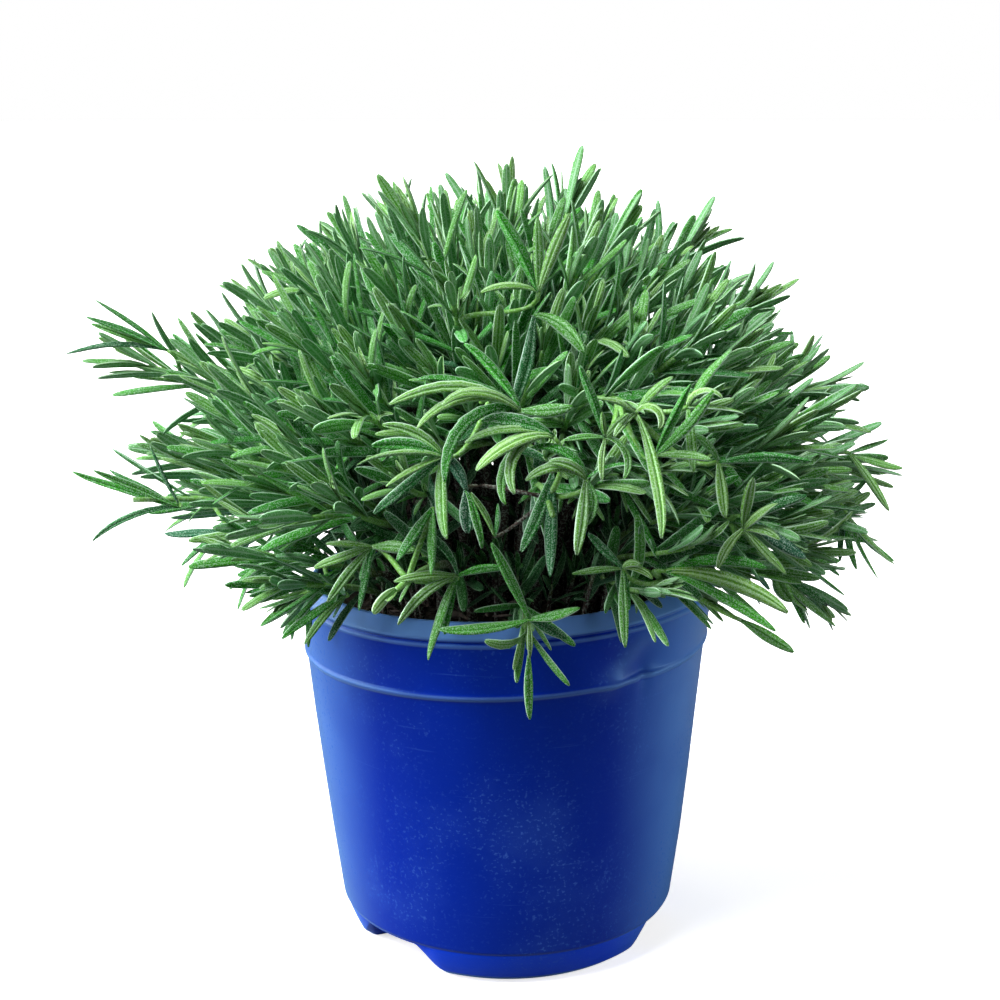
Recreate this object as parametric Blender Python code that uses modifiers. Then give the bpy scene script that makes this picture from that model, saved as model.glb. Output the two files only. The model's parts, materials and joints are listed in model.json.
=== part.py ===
"""A lavender plant in a 14 cm plastic nursery pot.

The pot is a turned, thin-walled shell on a foot ring with three drainage notches. The
soil fills it to a finger's width below the lip, with a plain hole for each stem. Each
leafy stem is one solid: a square stem that rises from its hole and fans out over the
rim, with opposite pairs of narrow blades, each pair a quarter turn from the next.

Sizes are in millimetres and are scaled to metres as the meshes are made. +Z is up, -Y
is the front, and the origin is the middle of the foot, on the standing plane.
"""

import math
import random
from collections import namedtuple

import bmesh
import bpy
import numpy as np
from mathutils import Matrix, Vector

MM = 0.001
GAP = 0.3
SEED = 47
MERGE = 1e-6

# The pot, as radius and height
TURN_STEPS = 36
LIP_RADIUS = 70.0
POT_HEIGHT = 129.5
TOP_RING = (65.2, 66.8)
LIP_EDGE_HEIGHT = 123.0
COLLAR_TOP = (69.0, 122.0)
COLLAR_FOOT = (68.3, 107.0)
WALL_TOP = (67.3, 105.4)
WALL_FOOT = (57.4, 13.2)
FOOT_TOP = (56.0, 12.2)
FOOT_EDGE = (50.6, 1.6)
FOOT_BOTTOM_RADII = (45.0, 48.6)
WALL = 1.3
FLOOR_UNDERSIDE = 11.8
FLOOR_TOP = 13.3

NOTCH_AZIMUTHS = (-46.0, 74.0, 194.0)
NOTCH_HEIGHT = 11.3
NOTCH_BOTTOM_HALF_WIDTH = 17.5
NOTCH_TOP_HALF_WIDTH = 9.5
NOTCH_RADII = (40.0, 62.0)

DRAIN_RADIUS = 3.0
DRAIN_RING_RADIUS = 34.0
DRAIN_COUNT = 6

# The soil
SOIL_TOP = 120.5
SOIL_EDGE_RADIUS = 66.3
SOIL_RINGS = 4
LUMP_HEIGHT = 1.3
HOLE_DEPTH = 11.0

# The stems
STEM_COUNT = 49
CROWN_HEIGHT = 140.0
STEM_REACH = 113.0
REACH_SPREAD = 6.0
BACK_REACH = 4.0
SKIRT_POLAR = math.radians(104)
FRONT_POLAR = math.radians(86)
LEFT_POLAR = math.radians(92)
DROOP = 2.6
BASE_SPREAD = 47.0
STEM_RADIUS_BASE = 1.9
STEM_RADIUS_TIP = 1.3
STEM_STATIONS = (0.3, 0.55, 0.78, 1.0)
CLEAR_OF_FEATURE = math.radians(15)
GOLDEN_ANGLE = math.radians(137.508)

# Each pair of leaves: distance from the stem's tip, spread from the stem in degrees,
# length of the blades
PAIRS = (
    (2.5, 13, 22),
    (9.0, 27, 27),
    (18.0, 40, 30),
    (29.0, 50, 30),
    (41.0, 58, 27),
)
BLADE_WIDTH = 3.7
BLADE_THICKNESS = 1.25
BLADE_BEND = math.radians(16)
BLADE_MIDDLE = 0.5
BLADE_ROOT_OFFSET = 0.55
BLADE_CLEARANCE = 4.0
SQUEEZES = (1.0, 0.85, 0.7, 0.55, 0.4, 0.28)
STEM_LOOKAHEAD = 30.0
RIM_CLEARANCE = 2.4

# A stem by its tip: azimuth from the front towards +X, distance from the pot's axis,
# height, the climb of its end and the turn of its end away from its azimuth, in degrees
Sprig = namedtuple("Sprig", "azimuth reach height climb turn")

# The sprigs that give the plant its outline and its front, placed by hand
FEATURE_SPRIGS = (
    Sprig(-75, 125, 160, 2, 0),
    Sprig(-80, 118, 202, 22, 0),
    Sprig(104, 121, 139, -36, 0),
    Sprig(93, 116, 163, -14, 0),
    Sprig(101, 109, 187, 10, 0),
    Sprig(78, 104, 125, -42, 0),
    Sprig(4, 86, 127, -40, 0),
    Sprig(38, 90, 141, -22, 34),
    Sprig(-48, 88, 135, -20, -14),
    Sprig(48, 102, 158, -18, 8),
    Sprig(-4, 110, 205, -6, -12),
    Sprig(6, 114, 174, -20, 0),
    Sprig(19, 110, 202, -10, 10),
)

Stem = namedtuple("Stem", "points side roll")
Blade = namedtuple("Blade", "root along outward spread length")


def clear_scene():
    """Empties the scene of the objects that Blender starts with."""
    for obj in list(bpy.data.objects):
        bpy.data.objects.remove(obj)


def new_collection(name, hidden=False):
    """A collection in the scene. A hidden one holds cutters."""
    group = bpy.data.collections.new(name)
    group.hide_render = hidden
    bpy.context.scene.collection.children.link(group)
    return group


def plain_material(name, colour, roughness):
    """A Principled material of one colour."""
    material = bpy.data.materials.new(name)
    material.use_nodes = True
    shader = material.node_tree.nodes["Principled BSDF"]
    shader.inputs["Base Color"].default_value = (*colour, 1.0)
    shader.inputs["Roughness"].default_value = roughness
    return material


def place_mesh(name, mesh, group):
    """A new object of this mesh in the collection."""
    obj = bpy.data.objects.new(name, mesh)
    group.objects.link(obj)
    return obj


def mesh_from(name, bm):
    """Writes a bmesh, in millimetres, to a new mesh in metres."""
    bmesh.ops.scale(bm, vec=(MM, MM, MM), verts=bm.verts)
    bmesh.ops.recalc_face_normals(bm, faces=bm.faces)
    mesh = bpy.data.meshes.new(name)
    bm.to_mesh(mesh)
    bm.free()
    return mesh


def apply_modifiers(obj):
    """Replaces the object's mesh by its evaluated one and drops its modifiers."""
    graph = bpy.context.evaluated_depsgraph_get()
    applied = bpy.data.meshes.new_from_object(obj.evaluated_get(graph))
    obj.modifiers.clear()
    obj.data = applied


def as_cutter(obj):
    """Keeps a cutter out of the model and draws it as a wire frame."""
    obj.hide_render = True
    obj.display_type = "WIRE"


def at_azimuth(azimuth, radius, height):
    """A point by its azimuth in radians, from the front towards +X."""
    return Vector((radius * math.sin(azimuth), -radius * math.cos(azimuth), height))


def turned(name, profile, group):
    """Turns an open profile, whose ends lie on the axis, round +Z."""
    mesh = bpy.data.meshes.new(name)
    points = [(radius * MM, 0, height * MM) for radius, height in profile]
    mesh.from_pydata(points, [(i, i + 1) for i in range(len(points) - 1)], [])
    obj = place_mesh(name, mesh, group)
    screw = obj.modifiers.new("Turn", "SCREW")
    screw.steps = screw.render_steps = TURN_STEPS
    screw.use_merge_vertices = True
    screw.merge_threshold = MERGE
    return obj


def cut(obj, cutters):
    """Cuts every object of a collection out of this one."""
    boolean = obj.modifiers.new("Cut", "BOOLEAN")
    boolean.operation = "DIFFERENCE"
    boolean.operand_type = "COLLECTION"
    boolean.collection = cutters
    boolean.solver = "EXACT"


def inner_wall():
    """The inside of the pot's wall as radius and height, from the floor to the top ring."""
    return [
        (WALL_FOOT[0] - WALL, FLOOR_TOP),
        (WALL_TOP[0] - WALL, WALL_TOP[1]),
        (COLLAR_FOOT[0] - WALL, COLLAR_FOOT[1] + WALL / 2),
        (COLLAR_TOP[0] - WALL, COLLAR_TOP[1] - WALL),
        (TOP_RING[0], POT_HEIGHT - 2 * WALL),
        (TOP_RING[0], POT_HEIGHT),
    ]


def pot_profile():
    """Floor, inside, lip, collar, wall, foot and the floor's underside, axis to axis."""
    outer_wall = [
        (TOP_RING[1], POT_HEIGHT),
        (LIP_RADIUS, LIP_EDGE_HEIGHT),
        COLLAR_TOP,
        COLLAR_FOOT,
        WALL_TOP,
        WALL_FOOT,
        FOOT_TOP,
    ]
    foot = [
        FOOT_EDGE,
        (FOOT_BOTTOM_RADII[1], 0),
        (FOOT_BOTTOM_RADII[0], 0),
        (FOOT_TOP[0] - 2 * WALL, FLOOR_UNDERSIDE),
    ]
    return [(0, FLOOR_TOP), *inner_wall(), *outer_wall, *foot, (0, FLOOR_UNDERSIDE)]


def notch_cutter(azimuth, group):
    """A wedge, wide at the standing plane, that cuts one notch in the foot ring."""
    bm = bmesh.new()
    bmesh.ops.create_cube(bm, size=1)
    slope = (NOTCH_BOTTOM_HALF_WIDTH - NOTCH_TOP_HALF_WIDTH) / NOTCH_HEIGHT
    for vert in bm.verts:
        height = NOTCH_HEIGHT if vert.co.z > 0 else -1.0
        half_width = NOTCH_TOP_HALF_WIDTH + slope * (NOTCH_HEIGHT - height)
        vert.co.x = math.copysign(half_width, vert.co.x)
        vert.co.y = -NOTCH_RADII[1] if vert.co.y < 0 else -NOTCH_RADII[0]
        vert.co.z = height
    bmesh.ops.rotate(bm, matrix=Matrix.Rotation(azimuth, 3, "Z"), verts=bm.verts)
    as_cutter(place_mesh("notch_cutter", mesh_from("notch_cutter", bm), group))


def drain_cutter(x, y, group):
    """An upright eight-sided cutter through the floor."""
    bm = bmesh.new()
    bmesh.ops.create_cone(
        bm,
        cap_ends=True,
        segments=8,
        radius1=DRAIN_RADIUS,
        radius2=DRAIN_RADIUS,
        depth=6,
        matrix=Matrix.Translation((x, y, (FLOOR_UNDERSIDE + FLOOR_TOP) / 2)),
    )
    as_cutter(place_mesh("drain_cutter", mesh_from("drain_cutter", bm), group))


def make_pot(group):
    """The pot, with its notched foot ring and its drain holes."""
    pot = turned("pot", pot_profile(), group)
    cutters = new_collection("pot cutters", hidden=True)
    for azimuth in NOTCH_AZIMUTHS:
        notch_cutter(math.radians(azimuth), cutters)
    drain_cutter(0, 0, cutters)
    for index in range(DRAIN_COUNT):
        place = at_azimuth(math.tau * index / DRAIN_COUNT, DRAIN_RING_RADIUS, 0)
        drain_cutter(place.x, place.y, cutters)
    cut(pot, cutters)
    pot.data.materials.append(plain_material("blue plastic", (0.01, 0.05, 0.3), 0.45))


def soil_lump(x, y):
    """The height of the soil's lumps over its mean level."""
    waves = math.sin(0.21 * x + 1.3) * math.cos(0.17 * y) + math.sin(0.11 * (x - y))
    return 0.5 * LUMP_HEIGHT * waves


def make_soil(stems, group):
    """The soil, 0.3 mm inside the pot, with one plain hole for each stem."""
    floor_radius, floor_height = inner_wall()[0]
    neck_radius, neck_height = inner_wall()[1]
    top = [
        (SOIL_EDGE_RADIUS * ring / SOIL_RINGS, SOIL_TOP) for ring in range(SOIL_RINGS + 1)
    ]
    side = [
        (neck_radius - GAP, neck_height),
        (floor_radius - 2 * GAP, floor_height + GAP),
        (0, floor_height + GAP),
    ]
    soil = turned("soil", top + side, group)
    apply_modifiers(soil)
    for vert in soil.data.vertices:
        if vert.co.z > (SOIL_TOP - 1) * MM:
            vert.co.z += soil_lump(vert.co.x / MM, vert.co.y / MM) * MM
    cutters = new_collection("stem holes", hidden=True)
    for stem in stems:
        hole_cutter(stem, cutters)
    cut(soil, cutters)
    soil.data.materials.append(plain_material("potting soil", (0.06, 0.04, 0.025), 0.95))


def hole_cutter(stem, group):
    """A square cutter a gap wider than the stem that stands in it."""
    foot = stem.points[0]
    height = HOLE_DEPTH + 2 * LUMP_HEIGHT + GAP
    bm = bmesh.new()
    radius = STEM_RADIUS_BASE + GAP * math.sqrt(2)
    turn = Matrix.Rotation(stem.roll, 4, "Z")
    place = Matrix.Translation((foot.x, foot.y, foot.z - GAP + height / 2))
    bmesh.ops.create_cone(
        bm, cap_ends=True, segments=4, radius1=radius, radius2=radius, depth=height,
        matrix=place @ turn @ side_frame(Vector((0, 0, 1)), stem.side).to_4x4(),
    )
    as_cutter(place_mesh("hole_cutter", mesh_from("hole_cutter", bm), group))


def side_frame(along, side):
    """Across, out and along as columns, with across as near to the side as it can be."""
    across = (side - along * side.dot(along)).normalized()
    return Matrix((across, along.cross(across), along)).transposed()


def skirt_polar(azimuth):
    """How far down the dome reaches: least at the front, and less at the left."""
    front = max(0.0, math.cos(azimuth)) ** 2
    left = max(0.0, -math.sin(azimuth)) ** 2
    lift = (FRONT_POLAR - SKIRT_POLAR) * front + (LEFT_POLAR - SKIRT_POLAR) * left
    return SKIRT_POLAR + lift


def regular_sprigs(rng):
    """Sprigs spread evenly over the dome, from its top to its skirt."""
    for index in range(STEM_COUNT):
        share = (index + 0.5) / STEM_COUNT
        azimuth = index * GOLDEN_ANGLE
        polar = math.acos(1 - share * (1 - math.cos(SKIRT_POLAR)))
        polar *= skirt_polar(azimuth) / SKIRT_POLAR
        reach = STEM_REACH + BACK_REACH * max(0.0, -math.cos(azimuth))
        reach += rng.uniform(-REACH_SPREAD, REACH_SPREAD)
        level = 90 - math.degrees(polar)
        climb = 0.85 * max(level, 0) + DROOP * min(level, 0) + rng.uniform(-9, 9)
        turn = rng.uniform(-12, 12)
        yield Sprig(
            math.degrees(azimuth),
            reach * math.sin(polar),
            CROWN_HEIGHT + reach * math.cos(polar),
            climb,
            turn,
        )


def sprig_direction(sprig):
    """The unit vector from the middle of the dome to the sprig's tip."""
    tip = at_azimuth(math.radians(sprig.azimuth), sprig.reach, sprig.height)
    return (tip - Vector((0, 0, CROWN_HEIGHT))).normalized()


def all_sprigs(rng):
    """The sprigs placed by hand, and the regular ones that stand clear of them."""
    features = [sprig_direction(sprig) for sprig in FEATURE_SPRIGS]
    regular = [
        sprig
        for sprig in regular_sprigs(rng)
        if all(sprig_direction(sprig).angle(way) > CLEAR_OF_FEATURE for way in features)
    ]
    return [*FEATURE_SPRIGS, *regular]


def stem_of(sprig, rng):
    """The line of a stem: upright in its hole, then one smooth curve to its tip."""
    azimuth = math.radians(sprig.azimuth)
    polar = sprig_direction(sprig).angle(Vector((0, 0, 1)))
    base_radius = BASE_SPREAD * min(1.0, polar / SKIRT_POLAR) ** 0.9
    foot = at_azimuth(azimuth, base_radius, SOIL_TOP - HOLE_DEPTH)
    start = foot + Vector((0, 0, HOLE_DEPTH + LUMP_HEIGHT))
    tip = at_azimuth(azimuth, sprig.reach, sprig.height)
    end_azimuth = azimuth + math.radians(sprig.turn)
    climb = math.radians(sprig.climb)
    end_way = at_azimuth(end_azimuth, math.cos(climb), math.sin(climb))
    span = (tip - start).length
    handles = (start, start + Vector((0, 0, 0.38 * span)), tip - end_way * 0.4 * span, tip)
    curve = [bezier(handles, share) for share in STEM_STATIONS]
    side = at_azimuth(azimuth + math.pi / 2, 1, 0)
    return Stem([foot, start, *curve], side, rng.uniform(0, math.pi / 2))


def bezier(handles, share):
    """A point on the cubic curve of four handles."""
    rest = 1 - share
    weights = (rest**3, 3 * rest**2 * share, 3 * rest * share**2, share**3)
    return sum((w * handle for w, handle in zip(weights, handles)), Vector())


def stem_frame(stem, along):
    """Across, out and along at a point of a stem, turned by the stem's roll."""
    return side_frame(along, stem.side) @ Matrix.Rotation(stem.roll, 3, "Z")


def point_from_tip(stem, distance):
    """The point this far down a stem from its tip, and the stem's way there."""
    for upper, lower in zip(stem.points[:0:-1], stem.points[-2::-1]):
        step = upper - lower
        if distance <= step.length:
            return upper - step.normalized() * distance, step.normalized()
        distance -= step.length
    raise ValueError("the stem is shorter than its leafy length")


def prism(sides, cuts):
    """A prism from z 0 to 1 of unit radius, cut across at these heights."""
    bm = bmesh.new()
    bmesh.ops.create_cone(
        bm, cap_ends=True, segments=sides, radius1=1, radius2=1, depth=1,
        matrix=Matrix.Translation((0, 0, 0.5)),
    )
    for height in cuts:
        everything = [*bm.verts, *bm.edges, *bm.faces]
        bmesh.ops.bisect_plane(
            bm, geom=everything, plane_co=(0, 0, height), plane_no=(0, 0, 1)
        )
    return bm


def make_stem(name, stem, group):
    """A tapered square stem through the points of its line."""
    last = len(stem.points) - 1
    bm = prism(4, [index / last for index in range(1, last)])
    for vert in bm.verts:
        index = round(vert.co.z * last)
        before = stem.points[max(index - 1, 0)]
        after = stem.points[min(index + 1, last)]
        frame = stem_frame(stem, (after - before).normalized())
        radius = STEM_RADIUS_BASE
        if index > 1:
            radius += (STEM_RADIUS_TIP - STEM_RADIUS_BASE) * (index - 1) / (last - 1)
        flat = Vector((vert.co.x, vert.co.y, 0)) * radius
        vert.co = stem.points[index] + frame @ flat
    return place_mesh(name, mesh_from(name, bm), group)


def blade_point(blade, share):
    """The middle of a blade this share of the way out, and its way there."""
    start = blade.spread
    turn = start + BLADE_BEND * share
    along = blade.length / BLADE_BEND * (math.sin(turn) - math.sin(start))
    out = blade.length / BLADE_BEND * (math.cos(start) - math.cos(turn))
    middle = blade.root + blade.along * along + blade.outward * out
    return middle, blade.along * math.cos(turn) + blade.outward * math.sin(turn)


def blade_section(share):
    """Width and thickness of a blade at its narrow root, its middle or its blunt tip."""
    if share < BLADE_MIDDLE / 2:
        return BLADE_WIDTH * 0.42, BLADE_THICKNESS * 0.75
    if share < (1 + BLADE_MIDDLE) / 2:
        return BLADE_WIDTH, BLADE_THICKNESS
    return BLADE_WIDTH * 0.5, BLADE_THICKNESS * 0.6


def make_blade(name, blade, group):
    """A three-sided blade, flat above and keeled below, and arched."""
    bm = prism(3, [BLADE_MIDDLE])
    across = blade.along.cross(blade.outward)
    for vert in bm.verts:
        share = vert.co.z
        middle, way = blade_point(blade, share)
        upward = way.cross(across)
        width, thickness = blade_section(share)
        # The prism's flat side is at y -0.5 and its ridge at y 1.
        sideways = vert.co.x / math.sin(math.pi / 3) * width / 2
        down = (vert.co.y - 0.25) / 1.5 * thickness
        vert.co = middle + across * sideways - upward * down
    return place_mesh(name, mesh_from(name, bm), group)


class Clearance:
    """Keeps each blade nearer to its own stem than to any other, and off the pot."""

    def __init__(self, stems):
        samples = []
        owners = []
        for owner, stem in enumerate(stems):
            for point in self.along(stem):
                samples.append(point)
                owners.append(owner)
        self.samples = np.array(samples)
        self.owners = np.array(owners)

    @staticmethod
    def along(stem):
        """Points every 2 mm or less along a stem and past its tip."""
        way = (stem.points[-1] - stem.points[-2]).normalized()
        line = [*stem.points, stem.points[-1] + way * STEM_LOOKAHEAD]
        for lower, upper in zip(line, line[1:]):
            count = math.ceil((upper - lower).length / 2)
            for index in range(count + 1):
                yield lower.lerp(upper, index / count)

    def holds(self, owner, blade):
        """Whether the blade is clear at each of a few points along it."""
        for share in (0.3, 0.5, 0.7, 0.85, 1.0):
            point = blade_point(blade, share)[0]
            if not self.off_pot(point):
                return False
            distances = np.linalg.norm(self.samples - np.array(point), axis=1)
            own = distances[self.owners == owner].min()
            if distances[self.owners != owner].min() < own + BLADE_CLEARANCE:
                return False
        return True

    @staticmethod
    def off_pot(point):
        """Whether a point stands clear of the soil and of the pot's rim and wall."""
        radius = math.hypot(point.x, point.y)
        if radius > LIP_RADIUS + RIM_CLEARANCE or point.z > POT_HEIGHT + RIM_CLEARANCE:
            return True
        inside = TOP_RING[0] - RIM_CLEARANCE
        return radius < inside and point.z > SOIL_TOP + LUMP_HEIGHT + RIM_CLEARANCE


def blades_of(owner, stem, clearance, rng):
    """The blades of a stem, each bent in towards it as far as it takes to be clear."""
    quarter = math.pi / 2
    for number, (distance, spread, length) in enumerate(PAIRS):
        middle, along = point_from_tip(stem, distance)
        frame = stem_frame(stem, along)
        for side in (0, 2):
            angle = (number % 2 + side + 0.5) * quarter
            outward = frame @ Vector((math.cos(angle), math.sin(angle), 0))
            wanted = math.radians(spread + rng.uniform(-4, 4))
            size = length * rng.uniform(0.92, 1.08)
            root = middle + outward * BLADE_ROOT_OFFSET
            for squeeze in SQUEEZES:
                blade = Blade(root, along, outward, wanted * squeeze, size)
                if clearance.holds(owner, blade):
                    yield blade
                    break


def fuse(stem_object, blades):
    """Joins a collection of blades to their stem in one solid and removes them."""
    union = stem_object.modifiers.new("Fuse", "BOOLEAN")
    union.operation = "UNION"
    union.operand_type = "COLLECTION"
    union.collection = blades
    union.solver = "EXACT"
    apply_modifiers(stem_object)
    for obj in list(blades.objects):
        bpy.data.objects.remove(obj)
    bpy.data.collections.remove(blades)


def make_leafy_stems(stems, rng, group):
    """One solid for each stem with its blades."""
    clearance = Clearance(stems)
    foliage = plain_material("foliage", (0.08, 0.16, 0.07), 0.7)
    for owner, stem in enumerate(stems):
        name = f"leafy_stem_{owner + 1:02d}"
        leafy = make_stem(name, stem, group)
        blades = new_collection("blades")
        for number, blade in enumerate(blades_of(owner, stem, clearance, rng)):
            make_blade(f"blade_{number}", blade, blades)
        fuse(leafy, blades)
        leafy.data.materials.clear()
        leafy.data.materials.append(foliage)


def main():
    clear_scene()
    rng = random.Random(SEED)
    lavender = new_collection("potted lavender")
    stems = [stem_of(sprig, rng) for sprig in all_sprigs(rng)]
    make_pot(lavender)
    make_soil(stems, lavender)
    make_leafy_stems(stems, rng, lavender)


main()
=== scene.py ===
"""The looks of a potted lavender, built over its CAD frame.

Every leafy stem of the frame is replaced by a finer one on the same line: the same pairs of
leaves, now grooved and rolled at the margins, with buds, axillary tufts and side shoots between
them. The tufts at the front and the sides are listed one by one. The pot and its soil are replaced
by finer ones, and low sprigs and dry leaves fill the middle. Lengths are in millimetres unless a
name says otherwise, +Z is up and -Y is the front.
"""

import json
import math
import random
from collections import namedtuple
from itertools import pairwise

import bmesh
import bpy
import numpy as np
from bpy.props import FloatProperty, FloatVectorProperty, IntProperty, PointerProperty
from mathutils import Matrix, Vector, noise

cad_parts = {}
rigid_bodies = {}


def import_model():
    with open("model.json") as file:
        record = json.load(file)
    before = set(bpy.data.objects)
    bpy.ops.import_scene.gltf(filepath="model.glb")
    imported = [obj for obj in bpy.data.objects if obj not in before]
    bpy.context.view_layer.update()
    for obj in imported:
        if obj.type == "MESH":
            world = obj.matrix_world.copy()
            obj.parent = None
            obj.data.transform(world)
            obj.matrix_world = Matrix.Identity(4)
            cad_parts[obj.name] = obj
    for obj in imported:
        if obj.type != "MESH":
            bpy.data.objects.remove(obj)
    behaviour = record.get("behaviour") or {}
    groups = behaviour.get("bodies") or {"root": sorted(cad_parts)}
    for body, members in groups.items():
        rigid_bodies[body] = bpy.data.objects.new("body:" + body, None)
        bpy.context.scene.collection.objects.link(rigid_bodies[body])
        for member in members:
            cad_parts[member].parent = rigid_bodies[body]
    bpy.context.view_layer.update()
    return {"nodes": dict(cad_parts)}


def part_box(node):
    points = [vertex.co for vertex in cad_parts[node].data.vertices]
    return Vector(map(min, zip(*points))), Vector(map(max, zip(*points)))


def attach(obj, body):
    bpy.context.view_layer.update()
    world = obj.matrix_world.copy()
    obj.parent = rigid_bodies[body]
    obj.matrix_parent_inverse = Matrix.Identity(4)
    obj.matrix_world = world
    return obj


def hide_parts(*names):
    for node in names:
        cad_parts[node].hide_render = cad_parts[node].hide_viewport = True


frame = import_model()

bl_info = {
    "name": "Potted Lavender",
    "version": (1, 0, 0),
    "blender": (4, 5, 0),
    "location": "View3D > Sidebar > Lavender",
    "description": "Fine leaves, pot and soil for the frame of a potted lavender",
    "category": "Add Mesh",
}

MM = 0.001
M = 1000.0
ROOT_BODY = "root"
LEAF_MAP = "leaf_uv"
LEAF_TINT = "leaf_tint"
# The name of the mask for the highlight painted along the collar's fold
FOLD_HIGHLIGHT = "fold"

# The frame's own sizes
POT_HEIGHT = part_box("pot")[1][2] * M
LIP_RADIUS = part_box("pot")[1][0] * M
SOIL_TOP = 120.5
STEM_NODES = sorted(name for name in frame["nodes"] if name.startswith("leafy_stem_"))

# The lines of the stems, by the rule that the frame's stems follow
SEED = 47
STEM_COUNT = 49
CROWN_HEIGHT = 140.0
STEM_REACH = 113.0
REACH_SPREAD = 6.0
BACK_REACH = 4.0
SKIRT_POLAR = math.radians(104)
FRONT_POLAR = math.radians(86)
LEFT_POLAR = math.radians(92)
DROOP = 2.6
CLIMB_SHARE = 0.85
CLIMB_SPREAD = 9
TURN_SPREAD = 12
BASE_SPREAD = 47.0
BASE_EASE = 0.9
RISE_SHARE = 0.38
END_SHARE = 0.4
HOLE_DEPTH = 11.0
LUMP_HEIGHT = 1.3
CLEAR_OF_FEATURE = math.radians(15)
GOLDEN_ANGLE = math.radians(137.508)
CURVE_STEPS = 18

Sprig = namedtuple("Sprig", "azimuth reach height climb turn")
FEATURE_SPRIGS = (
    Sprig(-75, 125, 160, 2, 0),
    Sprig(-80, 118, 202, 22, 0),
    Sprig(104, 121, 139, -36, 0),
    Sprig(93, 116, 163, -14, 0),
    Sprig(101, 109, 187, 10, 0),
    Sprig(78, 104, 125, -42, 0),
    Sprig(4, 86, 127, -40, 0),
    Sprig(38, 90, 141, -22, 34),
    Sprig(-48, 88, 135, -20, -14),
    Sprig(48, 102, 158, -18, 8),
    Sprig(-4, 110, 205, -6, -12),
    Sprig(6, 114, 174, -20, 0),
    Sprig(19, 110, 202, -10, 10),
)

# The stem that hangs over the rim: its tip is among the listed tufts
OVER_RIM = 6

# Each pair of leaves: distance from the shoot's tip, spread from the shoot in degrees,
# length, and how young it is
Pair = namedtuple("Pair", "distance spread length youth")
BUD_PAIRS = (Pair(0.0, 4, 12, 0.95), Pair(1.0, 9, 18, 0.85))
PAIRS = (
    Pair(2.5, 13, 22, 0.72),
    Pair(9.0, 27, 27, 0.58),
    Pair(18.0, 40, 30, 0.45),
    Pair(29.0, 50, 30, 0.34),
    Pair(41.0, 58, 27, 0.22),
)
LOWER_PAIRS = (Pair(54.0, 62, 22, 0.12), Pair(67.0, 64, 17, 0.05))
SHOOT_PAIRS = (
    Pair(0.0, 4, 14, 0.95),
    Pair(1.4, 10, 21, 0.85),
    Pair(4.5, 15, 27, 0.7),
    Pair(12.0, 21, 32, 0.56),
    Pair(22.0, 29, 34, 0.44),
    Pair(33.0, 38, 32, 0.32),
    Pair(46.0, 48, 27, 0.2),
)
SPRIG_PAIRS = (
    Pair(0.0, 8, 8, 0.3),
    Pair(2.0, 26, 13, 0.15),
    Pair(7.0, 48, 15, 0.05),
    Pair(13.0, 62, 13, 0.0),
)
CORE_PAIRS = (
    Pair(0.0, 14, 14, 0.25),
    Pair(5.0, 34, 18, 0.15),
    Pair(13.0, 48, 21, 0.08),
    Pair(22.0, 58, 21, 0.02),
    Pair(32.0, 64, 18, 0.0),
)
SPREAD_EASE = 0.74
LEAF_BEND = math.radians(13)
AXIL_LENGTHS = (0.6, 0.4)

# A leaf's form: stations along it, the half width at each, and its section from the
# right margin over the two crests to the left margin and back beneath
LEAF_STATIONS = (0.0, 0.1, 0.28, 0.5, 0.7, 0.86, 0.95, 1.0)
LEAF_WIDTHS = (0.38, 0.52, 0.8, 0.97, 0.97, 0.82, 0.6, 0.26)
LEAF_SECTION = (
    (1.0, -0.06),
    (0.56, 0.34),
    (0.0, 0.06),
    (-0.56, 0.34),
    (-1.0, -0.06),
    (-0.7, -0.34),
    (0.0, -0.14),
    (0.7, -0.34),
)
FRONT_STATIONS = (0.0, 0.08, 0.2, 0.34, 0.48, 0.62, 0.75, 0.86, 0.94, 1.0)
FRONT_WIDTHS = (0.34, 0.44, 0.66, 0.88, 1.0, 0.98, 0.88, 0.72, 0.5, 0.2)
FRONT_SECTION = (
    (1.0, -0.1),
    (0.8, 0.2),
    (0.42, 0.34),
    (0.0, -0.02),
    (-0.42, 0.34),
    (-0.8, 0.2),
    (-1.0, -0.1),
    (-0.72, -0.34),
    (0.0, -0.16),
    (0.72, -0.34),
)
UNDER_DEPTH = -0.13
SMALL_LEAF = 18.0
SMALL_STATIONS = (0.0, 0.2, 0.46, 0.72, 0.91, 1.0)
SMALL_WIDTHS = (0.4, 0.74, 1.0, 0.92, 0.6, 0.2)
SMALL_SECTION = ((1.0, -0.12), (0.5, 0.3), (0.0, 0.02), (-0.5, 0.3), (-1.0, -0.12), (0.0, -0.3))
STEM_STATIONS = tuple(index / 12 for index in range(13))
STEM_SECTION = (
    (0.84, 0.0),
    (0.74, 0.74),
    (0.0, 0.84),
    (-0.74, 0.74),
    (-0.84, 0.0),
    (-0.74, -0.74),
    (0.0, -0.84),
    (0.74, -0.74),
)

# The tufts, listed one by one. A tuft grows at a point, and its stalk reaches it pointing as its
# clock and lean say; one without a clock has no stalk of its own. A leaf's clock is the direction
# that it leaves in as seen from the front, in degrees clockwise from straight up, its sweep is how
# far that turns by its tip, its lean is how far it comes towards the front, and with an ease under
# 1 it turns mostly near its base.
Tuft = namedtuple("Tuft", "node clock lean leaves")
TuftLeaf = namedtuple("TuftLeaf", "clock sweep length width lean youth ease", defaults=(1.0,))

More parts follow.
